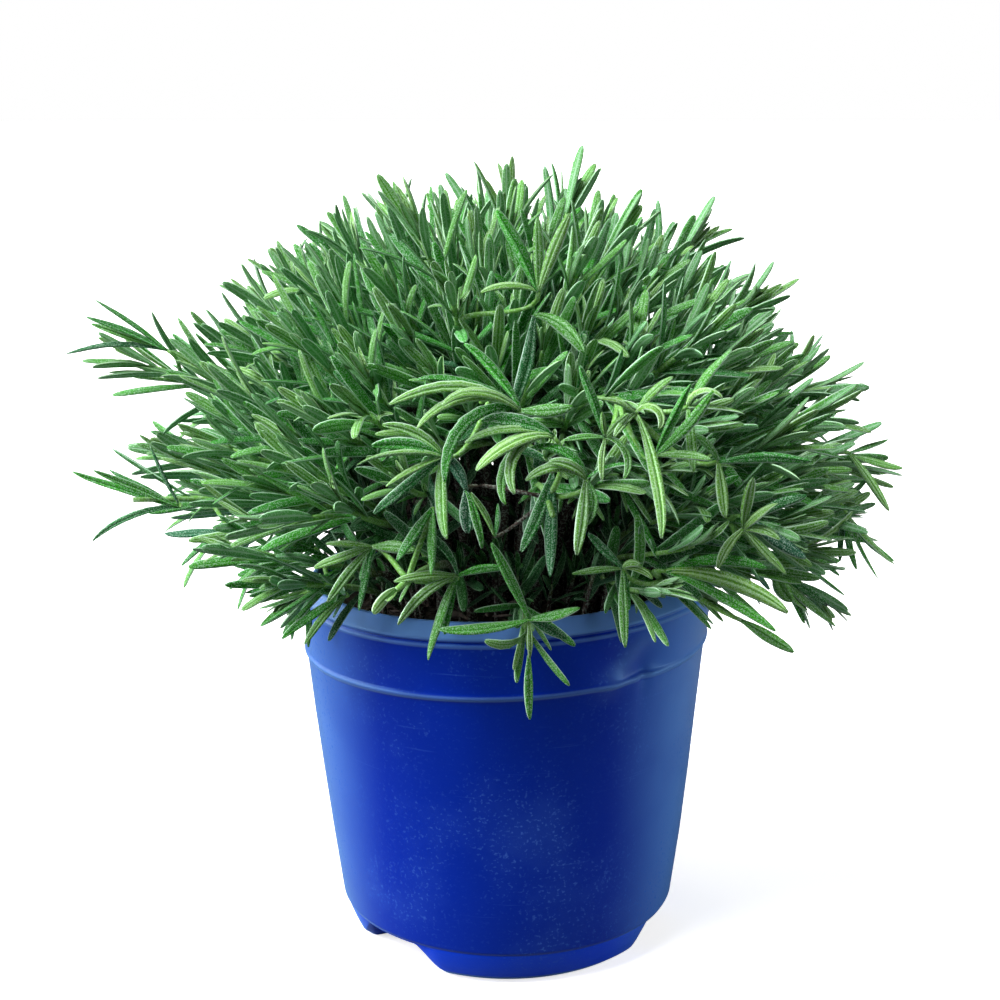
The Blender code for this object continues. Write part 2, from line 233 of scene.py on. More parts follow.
TUFTS = (
    Tuft((3, -112, 203), -60, 10, (
        TuftLeaf(-40, -62, 31, 3.8, 12, 0.45),
        TuftLeaf(-45, -100, 34, 4.6, 24, 1.0),
        TuftLeaf(-44, -94, 27, 5.0, 30, 0.95, 1.6),
        TuftLeaf(-52, -62, 40, 4.6, 22, 0.8),
        TuftLeaf(-58, -124, 34, 5.4, 14, 0.42, 0.7),
        TuftLeaf(92, -20, 15, 5.4, 20, 0.62),
        TuftLeaf(-20, -40, 24, 4.4, 0, 0.4),
    )),
    Tuft((12, -114, 196), -50, 20, (
        TuftLeaf(-54, -84, 26, 6.4, 26, 1.0, 0.55),
        TuftLeaf(-58, -66, 26, 4.4, 14, 0.95),
        TuftLeaf(-68, -140, 28, 4.4, 18, 0.6, 0.9),
        TuftLeaf(-60, -146, 25, 4.8, 24, 0.95, 0.8),
        TuftLeaf(-46, -60, 21, 5.6, 8, 0.3),
    )),
    Tuft((21, -112, 184), -30, 20, (
        TuftLeaf(-24, -74, 14, 4.6, 26, 1.0),
        TuftLeaf(-46, -80, 20, 4.4, 22, 0.95),
        TuftLeaf(186, 2, 21, 5.2, 12, 0.85),
        TuftLeaf(150, 60, 14, 4.4, 0, 0.6),
        TuftLeaf(-12, -92, 20, 4.8, 10, 0.4),
        TuftLeaf(46, 60, 17, 3.2, 10, 0.4),
    )),
    Tuft((26, -114, 196), 10, 25, (
        TuftLeaf(-22, 4, 22, 4.4, 12, 0.35),
        TuftLeaf(-82, -16, 12, 2.8, 20, 0.6),
        TuftLeaf(192, -14, 12, 2.8, 20, 0.95),
        TuftLeaf(96, 120, 15, 3.2, 10, 0.65),
        TuftLeaf(36, 4, 11, 3.8, 30, 0.85),
        TuftLeaf(-12, 6, 8, 2.6, 20, 0.8),
    )),
    Tuft((34, -116, 203), 40, 20, (
        TuftLeaf(150, 36, 35, 5.0, 8, 0.8),
        TuftLeaf(20, 200, 13, 4.0, 20, 1.0),
        TuftLeaf(-50, -30, 12, 3.2, 20, 0.9),
        TuftLeaf(-120, -30, 9, 3.0, 20, 0.9),
        TuftLeaf(30, 30, 14, 3.6, 0, 0.75),
    )),
    Tuft((40, -110, 190), 40, 12, (
        TuftLeaf(44, -10, 24, 4.4, 8, 0.55),
        TuftLeaf(20, 10, 22, 4.0, 0, 0.4),
        TuftLeaf(70, 40, 16, 3.6, 20, 0.75),
    )),
    Tuft((49, -106, 203), 60, 12, (
        TuftLeaf(-10, 160, 14, 4.4, 24, 0.95),
        TuftLeaf(30, 10, 20, 4.6, 6, 0.6),
        TuftLeaf(80, 30, 16, 4.0, 16, 0.8),
        TuftLeaf(170, 10, 18, 4.4, 16, 0.7),
    )),
    Tuft((-18, -106, 189), -70, 15, (
        TuftLeaf(-62, -58, 26, 5.2, 22, 1.0),
        TuftLeaf(-60, -36, 21, 5.2, 14, 0.35),
        TuftLeaf(-98, -30, 19, 4.4, 26, 0.92),
        TuftLeaf(196, -36, 23, 5.6, 14, 0.75),
        TuftLeaf(-124, -8, 25, 4.6, 10, 0.2),
        TuftLeaf(-36, -50, 20, 4.2, 6, 0.75),
    )),
    Tuft((12, -105, 184), 160, 70, (
        TuftLeaf(182, -2, 29, 6.0, 4, 0.15),
        TuftLeaf(196, 10, 24, 5.4, 0, 0.25),
    )),
    Tuft((-12, -104, 179), 170, 70, (
        TuftLeaf(176, 4, 12, 6.0, 6, 0.08),
        TuftLeaf(150, 30, 17, 4.2, 6, 0.5),
        TuftLeaf(-20, -20, 12, 5.0, 4, 0.05),
    )),
    Tuft((-15, -88, 150), -50, 30, (
        TuftLeaf(-80, -16, 20, 4.0, 26, 0.85),
        TuftLeaf(-104, -40, 24, 4.4, 30, 0.9),
        TuftLeaf(-148, -24, 26, 4.8, 18, 0.6),
        TuftLeaf(-8, -70, 22, 3.4, 8, 0.2),
        TuftLeaf(66, 24, 15, 3.8, 10, 0.45),
        TuftLeaf(-160, -16, 18, 4.2, 4, 0.35),
    )),
    Tuft((-22, -92, 171), -150, 20, (
        TuftLeaf(178, 6, 19, 6.2, 14, 0.55),
        TuftLeaf(-140, -10, 18, 4.4, 14, 0.45),
    )),
    Tuft((6, -89, 137), 20, 20, (
        TuftLeaf(-22, -4, 28, 4.6, 14, 0.5),
        TuftLeaf(74, -4, 16, 5.0, 16, 0.55),
        TuftLeaf(-108, 30, 27, 5.0, 12, 0.55),
        TuftLeaf(178, 2, 12, 2.6, 2, 1.0),
        TuftLeaf(112, 16, 13, 4.4, -6, 0.15),
    )),
    Tuft((6, -89, 126), None, None, (
        TuftLeaf(182, -6, 20, 4.6, 0, 0.5),
    )),
    Tuft((-4, -97, 164), -30, 70, (
        TuftLeaf(-24, -6, 15, 2.6, 6, 0.75),
        TuftLeaf(10, -10, 10, 2.8, 6, 0.3),
    )),
    Tuft((33, -91, 153), -20, 25, (
        TuftLeaf(-88, -4, 16, 3.2, 22, 0.75),
        TuftLeaf(178, 0, 23, 4.2, 12, 0.65),
        TuftLeaf(60, 90, 10, 3.0, 20, 1.0),
        TuftLeaf(-42, -4, 15, 4.0, 6, 0.2),
        TuftLeaf(168, 4, 13, 4.0, -4, 0.3),
        TuftLeaf(10, 120, 7, 3.4, 30, 1.0),
    )),
    Tuft((46, -87, 151), 95, 10, (
        TuftLeaf(80, 52, 38, 7.2, 14, 0.9),
        TuftLeaf(64, 46, 30, 5.0, 4, 0.4),
        TuftLeaf(104, 24, 36, 4.8, 16, 0.5),
    )),
    Tuft((68, -90, 137), 110, 10, (
        TuftLeaf(116, 10, 18, 5.4, 6, 0.6),
    )),
    Tuft((68, -88, 164), 30, 20, (
        TuftLeaf(-6, 24, 17, 5.0, 16, 1.0),
        TuftLeaf(24, 40, 14, 5.4, 26, 1.0),
        TuftLeaf(128, 16, 18, 4.6, 12, 0.9),
        TuftLeaf(-130, -30, 14, 4.2, 16, 0.95),
        TuftLeaf(70, 60, 12, 4.4, 30, 0.95),
    )),
    Tuft((71, -80, 165), 110, 8, (
        TuftLeaf(122, 4, 20, 6.0, 10, 0.0),
        TuftLeaf(60, 10, 18, 4.4, 4, 0.2),
    )),
    Tuft((59, -98, 186), 60, 14, (
        TuftLeaf(84, 10, 26, 4.6, 4, 0.3),
        TuftLeaf(-30, -30, 15, 4.0, 20, 0.6),
        TuftLeaf(178, -10, 16, 5.0, 16, 0.8),
    )),
    Tuft((116, 0, 148), 140, 4, (
        TuftLeaf(176, -14, 20, 3.4, 8, 0.45),
        TuftLeaf(160, -14, 26, 3.2, 2, 0.5),
        TuftLeaf(150, -28, 24, 4.0, 12, 0.8),
        TuftLeaf(146, -22, 25, 3.6, -4, 0.4),
        TuftLeaf(188, -10, 18, 3.2, -8, 0.3),
    )),
    Tuft((116, 0, 169), 100, 6, (
        TuftLeaf(140, 10, 24, 4.4, 10, 0.85),
        TuftLeaf(118, -24, 19, 4.0, 2, 0.7),
        TuftLeaf(78, -12, 14, 3.6, -6, 0.6),
    )),
    Tuft((-108, -30, 208), -62, 4, (
        TuftLeaf(-50, -6, 27, 3.2, 4, 0.35),
        TuftLeaf(-62, -6, 27, 3.0, 10, 0.3),
        TuftLeaf(-68, -4, 25, 3.6, 2, 0.6),
        TuftLeaf(-76, -30, 32, 2.8, 6, 0.15),
    )),
    Tuft((-106, -30, 157), -72, 4, (
        TuftLeaf(-78, 16, 36, 3.6, 4, 0.45),
        TuftLeaf(-66, 8, 30, 3.4, 14, 0.55),
        TuftLeaf(-70, 14, 26, 3.0, -6, 0.3),
        TuftLeaf(-84, -52, 31, 3.2, 8, 0.2),
        TuftLeaf(-26, 4, 22, 2.8, 0, 0.1),
    )),
    Tuft((-92, -32, 150), -90, 0, (
        TuftLeaf(-106, 26, 19, 4.4, 4, 0.1),
        TuftLeaf(-120, -20, 18, 3.0, 8, 0.3),
    )),
    Tuft((8.4, -82, 232), -10, 30, (
        TuftLeaf(-58, -62, 18, 4.4, 18, 0.9),
        TuftLeaf(18, 6, 24, 5.0, 6, 0.9),
        TuftLeaf(-28, 2, 26, 6.4, 4, 0.4),
        TuftLeaf(-4, 6, 21, 4.6, 0, 0.7),
    )),
    Tuft((7.4, -80.5, 225), None, None, (
        TuftLeaf(70, 84, 19, 5.8, 14, 0.62, 0.5),
        TuftLeaf(190, 6, 27, 5.8, 2, 0.15),
    )),
    Tuft((-66, -42, 134), -70, 10, (
        TuftLeaf(168, 12, 20, 3.4, 10, 0.4),
        TuftLeaf(196, -10, 18, 3.2, 8, 0.3),
        TuftLeaf(-86, -20, 18, 4.4, 6, 0.35),
        TuftLeaf(-104, -10, 15, 3.6, 14, 0.55),
        TuftLeaf(-140, 10, 14, 3.0, 2, 0.2),
    )),
    Tuft((-50, -62, 137), -40, 20, (
        TuftLeaf(-112, -24, 24, 4.4, 10, 0.45),
        TuftLeaf(-134, -10, 20, 3.8, 16, 0.7),
        TuftLeaf(-80, 10, 16, 4.0, 12, 0.3),
    )),
    Tuft((-65, -50, 139), -84, 30, (
        TuftLeaf(-92, -6, 20, 4.0, 8, 0.5),
        TuftLeaf(-80, 4, 23, 3.8, 4, 0.35),
        TuftLeaf(-100, -20, 16, 3.6, 12, 0.6),
        TuftLeaf(-66, -10, 18, 3.4, 0, 0.3),
    )),
    Tuft((-62, -40, 146), -60, 30, (
        TuftLeaf(-60, -20, 24, 4.0, 8, 0.45),
        TuftLeaf(-84, -16, 26, 4.0, 4, 0.4),
        TuftLeaf(-40, -20, 20, 3.8, 10, 0.35),
        TuftLeaf(-104, -20, 20, 4.0, 0, 0.5),
        TuftLeaf(-20, -30, 20, 3.6, 14, 0.5),
    )),
    Tuft((-40, -85, 158), -80, 30, (
        TuftLeaf(-104, -10, 18, 4.4, 10, 0.85),
        TuftLeaf(-138, -6, 21, 4.2, 8, 0.75),
        TuftLeaf(-74, -14, 14, 3.6, 20, 0.95),
        TuftLeaf(88, 10, 13, 5.4, 8, 0.7),
        TuftLeaf(-162, -12, 20, 4.6, 0, 0.3),
    )),
    Tuft((-27, -60, 152), 0, 20, (
        TuftLeaf(-30, -10, 22, 5.0, 10, 0.1),
        TuftLeaf(10, 10, 22, 5.0, 10, 0.15),
        TuftLeaf(50, 10, 20, 4.6, 10, 0.1),
        TuftLeaf(-70, 10, 20, 4.6, 10, 0.2),
        TuftLeaf(-5, 0, 17, 4.6, 30, 0.1),
    )),
    Tuft((84, -50, 141), 130, 10, (
        TuftLeaf(148, -16, 16, 4.8, 8, 0.75),
        TuftLeaf(130, 4, 26, 4.4, 6, 0.7),
        TuftLeaf(160, -20, 11, 7.0, 16, 0.65),
        TuftLeaf(118, 10, 20, 4.4, 4, 0.25),
        TuftLeaf(140, 20, 20, 3.8, 0, 0.4),
    )),
)
TUFT_WIDTH = 0.78
TUFT_FACE = (0.0, -0.8, 0.55)
TUFT_ROLLS = (-0.6, 0.6)
TUFT_TWISTS = (-0.8, 0.8)
TUFT_SWAYS = (-6, 6)

# A stalk leaves its stem between these distances from the stem's tip, and not near its
# foot; each millimetre further down counts as so much more of a gap
STALK_FROM_TIP = (14, 70)
STALK_FROM_FOOT = 12
STALK_STEP = 4.0
STALK_DEPTH_COST = 0.3

# Other leaves keep out of the view of the tufts this far forward or out
SCREEN_FRONT = -80
SCREEN_SIDE = 90
VIEWER = (0.0, -0.9, 0.43)
SCREEN_CLEARANCE = 3.0
SCREEN_DEPTH = 2.0

# The radius of each kind of stem at its foot and its tip, and how young it looks there
StemLook = namedtuple("StemLook", "radius_low radius_high youth_low youth_high")
MAIN_STEM = StemLook(1.9, 0.8, -0.3, 1.05)
SIDE_STEM = StemLook(1.2, 0.7, 0.25, 1.0)
SPRIG_STEM = StemLook(0.9, 0.5, 0.0, 0.5)
STALK = StemLook(0.9, 0.65, 0.7, 1.0)
# A stalk that comes forward more than this many degrees is in the shade of its tuft
HIDDEN_STALK = StemLook(0.7, 0.5, 0.1, 0.4)
HIDDEN_LEAN = 45

# Side shoots keep this far from the frame's own tips, and leave the dome open between
# two azimuths, in degrees, under a height
SHOOT_CLEARANCE = math.radians(6.5)
SHOOT_START = 1.1
SHOOT_REACH = (0.86, 0.98)
SHOOT_FROM_TIP = (56, 76)
SHOOT_CLIMB = 22.0
SHOOT_CLIMB_SPREAD = 8
SHOOT_LIFT = 0.05
BRANCH_SHARES = (0.34, 0.36)
OPEN_ZONES = ((-28, 24, 176), (-130, -55, 151), (-55, -28, 138), (28, 115, 141))

# A stem that ends below this height grows less
LOW_HEIGHT = 146.0
LOW_VIGOUR = 0.74

# Leaves stay clear of the rim, which is higher at its right, of the wall and of the soil
RIM_GAP = 2.0
RIM_RISE = 2.8
WALL_GAP = 2.2
INSIDE_RADIUS = 63.0
SOIL_GAP = 1.5

# The sprigs under and inside the dome: how far out they start, how high they rise, and
# where a tall one would stand in the front hollow
LOW_SPRIG_RADIUS = 58
LOW_SPRIG_HEIGHTS = (9, 34)
LOW_SPRIG_LEANS = (0.0, 0.5)
INNER_RADII = (8, 48)
INNER_HEIGHTS = (38, 62)
INNER_RISE = 30
INNER_LEAN = 0.7
INNER_WIDTH = 1.3
SPRIG_BOW = 0.1
SPRIG_YOUTHS = (-0.05, 0.1)
TALL_SPRIG = 34
HOLLOW_REACH = 44

Form = namedtuple("Form", "mesh across up under ring shares")


# ---------------------------------------------------------------- settings


def colour_setting(name, description, default):
    """A linear colour that a user can change."""
    return FloatVectorProperty(
        name=name, description=description, subtype="COLOR", size=3, min=0, max=1, default=default
    )


def length_setting(name, description, default):
    """A length in metres that a user can change."""
    return FloatProperty(name=name, description=description, default=default, unit="LENGTH")


def count_setting(name, description, default, least=0):
    """A count that a user can change."""
    return IntProperty(name=name, description=description, default=default, min=least)


def strength_setting(name, description, default):
    """The strength of a light that a user can change."""
    return FloatProperty(name=name, description=description, default=default, min=0)


class PotSettings(bpy.types.PropertyGroup):
    """Sizes and colours of the pot"""

    tilt: length_setting("Collar tilt", "How much higher the collar stands at its right", 2.8 * MM)
    dent: length_setting("Dent", "Depth of the dent in the collar", 2.6 * MM)
    lean: length_setting("Lean", "How far the wall leans to its left", 0.6 * MM)
    flare: length_setting("Flare", "How far the lip is pulled out at its right", 2.6 * MM)
    steps: count_setting("Steps", "Steps round the pot", 256, least=48)
    plastic: colour_setting("Plastic", "Colour of the pot", (0.0001, 0.015, 0.3))
    lip_and_highlights: colour_setting("Pale lip and painted highlights", "Colour of its paler lip and of the highlights painted on its beads and fold", (0.09, 0.2, 0.46))
    dust: colour_setting("Dust", "Colour of the dust on it", (0.06, 0.17, 0.6))


class SoilSettings(bpy.types.PropertyGroup):
    """Sizes and colours of the soil and what lies on it"""

    roughness: length_setting("Crumb height", "Height of the soil's crumbs", 1.6 * MM)
    crumbs: count_setting("Crumbs", "Loose crumbs on the soil", 260)
    litter: count_setting("Litter", "Dry leaves on the soil", 150)
    earth: colour_setting("Earth", "Colour of the soil", (0.016, 0.011, 0.008))
    dry: colour_setting("Dry leaf", "Colour of a dry leaf", (0.09, 0.06, 0.042))


class LeafSettings(bpy.types.PropertyGroup):
    """Sizes and colours of the leaves and stems"""

    width: length_setting("Leaf width", "Width of a grown leaf", 3.6 * MM)
    thickness: length_setting("Leaf thickness", "Thickness with its rolled margins", 1.7 * MM)
    side_shoots: count_setting("Side shoots", "Directions tried for side shoots", 290)
    low_sprigs: count_setting("Low sprigs", "Short sprigs under the dome", 64)
    core_sprigs: count_setting("Inner sprigs", "Taller sprigs inside the dome", 84)
    old: colour_setting("Old leaf", "Colour of the oldest leaves", (0.024, 0.14, 0.085))
    grown: colour_setting("Grown leaf", "Colour of a grown leaf", (0.036, 0.33, 0.006))
    young: colour_setting("Young leaf", "Colour of the youngest leaves", (0.3, 0.6, 0.09))
    underside: colour_setting("Underside", "Colour under a leaf", (0.1, 0.34, 0.1))
    felt: colour_setting("Felt", "Colour of the fine hairs", (0.7, 0.93, 0.8))
    bark: colour_setting("Bark", "Colour of a stem near the soil", (0.05, 0.028, 0.022))
    shoot: colour_setting("Shoot", "Colour of a stem near its tip", (0.16, 0.42, 0.06))


class StageSettings(bpy.types.PropertyGroup):
    """The floor, the camera and the light"""

    lens: FloatProperty(name="Lens", description="Focal length in millimetres", default=61.63)
    pitch: FloatProperty(
        name="Pitch", description="How far the camera looks down",
        default=math.radians(12.865), subtype="ANGLE",
    )
    distance: length_setting("Distance", "The camera's distance before the pot", 0.57)
    height: length_setting("Height", "The camera's height over the floor", 0.2827)
    sideways: length_setting("Sideways", "The camera's place left or right of the pot", -0.00255)
    sky: strength_setting("Sky", "Strength of the even light", 0.08)
    top: strength_setting("Top light", "Strength of the soft light from above", 5.2)
    left: strength_setting("Left light", "Strength of the soft light from the left", 3.6)
    right: strength_setting("Right light", "Strength of the soft light from the right", 0.75)
    rim: strength_setting("Rim light", "Strength of the soft light from behind", 1.5)
    low: strength_setting("Low light", "Power of the small light beside the pot", 0.055)
    floor: colour_setting("Floor", "Colour of the floor", (0.92, 0.92, 0.92))


# ---------------------------------------------------------------- modelling helpers


def clear_selection():
    """Leaves object mode with nothing selected."""
    if bpy.context.mode != "OBJECT":
        bpy.ops.object.mode_set(mode="OBJECT")
    bpy.ops.object.select_all(action="DESELECT")


def select_where(test):
    """In edit mode, selects the vertices whose place passes the test."""
    mesh = bpy.context.object.data
    cage = bmesh.from_edit_mesh(mesh)
    for vert in cage.verts:
        vert.select = bool(test(vert.co))
    cage.select_flush_mode()
    bmesh.update_edit_mesh(mesh)


def join_copies(name, copies):
    """Joins copies into one named object and drops their own meshes."""
    clear_selection()
    for copy in copies:
        copy.select_set(True)
    bpy.context.view_layer.objects.active = copies[0]
    bpy.ops.object.join()
    joined = bpy.context.object
    joined.name = name
    joined.data.name = name
    orphans = [mesh for mesh in bpy.data.meshes if not mesh.users and not mesh.use_fake_user]
    bpy.data.batch_remove(orphans)
    return joined


def unit(vector):
    """The vector at length 1."""
    return vector / np.linalg.norm(vector)


def units(vectors):
    """Each row at length 1."""
    return vectors / np.linalg.norm(vectors, axis=1)[:, None]


def smooth(low, high, value):
    """0 below low and 1 above high, with an even rise between them."""
    share = np.clip((value - low) / (high - low), 0.0, 1.0)
    return share * share * (3 - 2 * share)


# ---------------------------------------------------------------- shader helpers

WHITE = (1.0, 1.0, 1.0, 1.0)
HALF_GREY = (0.5, 0.5, 0.5, 1.0)
DIM_GREY = (0.14, 0.14, 0.14, 1.0)
DEEP_GREEN = (0.26, 0.42, 0.2, 1.0)
SHADED_GREEN = (0.28, 0.4, 0.24, 1.0)
OLD_TIP = (0.03, 0.015, 0.04, 1.0)
DRY_GREY = (0.14, 0.13, 0.115, 1.0)
BARK_BROWN = (0.05, 0.032, 0.02, 1.0)
PALE_GRAINS = (0.2, 0.17, 0.13, 1.0)
# Painted light: the brighter blue of the foot, for the light that the floor throws up
FOOT_PAINTED_LIGHT_BLUE = (0.0, 0.05, 0.8, 1.0)
# A pale blue for the dust and the painted sheen at the pot's sides
DUST_AND_PAINTED_SHEEN_BLUE = (0.1, 0.29, 0.7, 1.0)

# Where each effect starts and where it is full, or the other way round
SHADED_RADII = (56, 100)
PALE_LIP = (123.8, 124.8)
# The two beads carry painted highlights, full between these heights
BEAD_HIGHLIGHTS = ((121.7, 122.9), (104.5, 106.2))
FOOT_EDGE = (12.2, 13.0)
# Dust and painted sheen at the pot's left side and at its right
LEFT_DUST_AND_PAINTED_SHEEN = (-74, -38)
RIGHT_DUST_AND_PAINTED_SHEEN = (30, 66)


def node(tree, kind, inputs=None, **settings):
    """Adds a node with its settings, and links or sets each named input."""
    made = tree.nodes.new(kind)
    for name, value in settings.items():
        setattr(made, name, value)
    for name, value in (inputs or {}).items():
        socket = made.inputs[name]
        if isinstance(value, bpy.types.NodeSocket):
            tree.links.new(value, socket)
        else:
            socket.default_value = value
    return made


def calc(tree, operation, first, second=0.0):
    """A sum, product or other function of two numbers."""
    return node(tree, "ShaderNodeMath", {0: first, 1: second}, operation=operation).outputs[0]


def blend(tree, factor, first, second, blend_type="MIX"):
    """One colour mixed into another."""
    inputs = {0: factor, 6: first, 7: second}
    made = node(tree, "ShaderNodeMix", inputs, data_type="RGBA", blend_type=blend_type)
    return made.outputs[2]


def rise(tree, value, low, high, out_low=0.0, out_high=1.0):
    """A smooth step from one value to another."""
    inputs = {0: value, 1: low, 2: high, 3: out_low, 4: out_high}
    made = node(tree, "ShaderNodeMapRange", inputs, interpolation_type="SMOOTHSTEP")
    return made.outputs[0]


def rgba(colour):
    """A colour property as four numbers."""
    return (*colour, 1.0)


def shader_group(name, inputs, outputs):
    """A new shader node group, the sockets that enter it and the ones that leave it."""
    group = bpy.data.node_groups.new(name, "ShaderNodeTree")
    for label, kind, value in inputs:
        socket = group.interface.new_socket(name=label, in_out="INPUT", socket_type=kind)
        if value is not None:
            socket.default_value = value
    for label, kind in outputs:
        group.interface.new_socket(name=label, in_out="OUTPUT", socket_type=kind)
    entry = group.nodes.new("NodeGroupInput")
    leave = group.nodes.new("NodeGroupOutput")
    return group, entry.outputs, leave.inputs


def felt_group():
    """Fine grain: pale dots of short hair, an even mottle, and a height for a bump."""
    name = "fine grain"
    if name in bpy.data.node_groups:
        return bpy.data.node_groups[name]
    group, entry, leave = shader_group(
        name,
        (
            ("Vector", "NodeSocketVector", None),
            ("Grain", "NodeSocketFloat", 2600.0),
            ("Mottle", "NodeSocketFloat", 90.0),
        ),
        (
            ("Dots", "NodeSocketFloat"),
            ("Mottle", "NodeSocketFloat"),
            ("Height", "NodeSocketFloat"),
        ),
    )
    dots = noise_texture(group, entry["Vector"], entry["Grain"], 1.0)
    mottle = noise_texture(group, entry["Vector"], entry["Mottle"], 4.0)
    group.links.new(rise(group, dots, 0.46, 0.66), leave["Dots"])
    group.links.new(rise(group, mottle, 0.34, 0.66), leave["Mottle"])
    group.links.new(dots, leave["Height"])
    return group


def dust_group():
    """Dust and scuffs: fine specks that gather in patches, a haze of dust, and faint streaks."""
    name = "dust and scuffs"
    if name in bpy.data.node_groups:
        return bpy.data.node_groups[name]
    group, entry, leave = shader_group(
        name,
        (
            ("Vector", "NodeSocketVector", None),
            ("Specks", "NodeSocketFloat", 900.0),
            ("Patches", "NodeSocketFloat", 26.0),
        ),
        (
            ("Dust", "NodeSocketFloat"),
            ("Film", "NodeSocketFloat"),
            ("Scuffs", "NodeSocketFloat"),
        ),
    )
    patches = noise_texture(group, entry["Vector"], entry["Patches"], 5.0)
    fine = noise_texture(group, entry["Vector"], entry["Specks"], 3.0)
    specks = rise(group, fine, 0.56, 0.72)
    gathered = calc(group, "MULTIPLY", specks, rise(group, patches, 0.4, 0.68, 0.1, 1.0))
    group.links.new(gathered, leave["Dust"])
    group.links.new(rise(group, patches, 0.46, 0.74), leave["Film"])
    flat = node(
        group, "ShaderNodeMapping",
        {"Vector": entry["Vector"], "Rotation": (0.5, 0.3, 0.0), "Scale": (34, 34, 800)},
    ).outputs[0]
    streaks = noise_texture(group, flat, 1.0, 3.0)
    group.links.new(rise(group, streaks, 0.66, 0.8), leave["Scuffs"])
    return group


def noise_texture(tree, vector, scale, detail):
    """Noise at so many cells a metre."""
    inputs = {"Vector": vector, "Scale": scale, "Detail": detail}
    return node(tree, "ShaderNodeTexNoise", inputs).outputs[0]


def new_material(name):
    """A material and its tree."""
    material = bpy.data.materials.new(name)
    material.use_nodes = True
    return material, material.node_tree


def set_principled(tree, colour, normal=None, **values):
    """Gives the Principled shader its colour, its normal and its other values."""
    inputs = tree.nodes["Principled BSDF"].inputs
    tree.links.new(colour, inputs["Base Color"])
    if normal:
        tree.links.new(normal, inputs["Normal"])
    for name, value in values.items():
        socket = inputs[name.replace("_", " ")]
        if isinstance(value, bpy.types.NodeSocket):
            tree.links.new(value, socket)
        else:
            socket.default_value = value


def object_coordinates(tree):
    """The Object coordinates, which stay on the piece."""
    return node(tree, "ShaderNodeTexCoord").outputs["Object"]


def bump(tree, height, strength, distance):
    """A normal from a height."""
    inputs = {"Height": height, "Strength": strength, "Distance": distance}
    return node(tree, "ShaderNodeBump", inputs).outputs[0]


def placed_group(tree, group, **inputs):
    """A shader group placed in a material's tree with its own values."""
    return node(tree, "ShaderNodeGroup", inputs, node_tree=group).outputs


def point_tint(tree):
    """Each copy's own numbers: how young it is, a chance value and where it is under."""
    attribute = node(tree, "ShaderNodeAttribute", attribute_name=LEAF_TINT)
    return node(tree, "ShaderNodeSeparateColor", {0: attribute.outputs["Color"]}).outputs


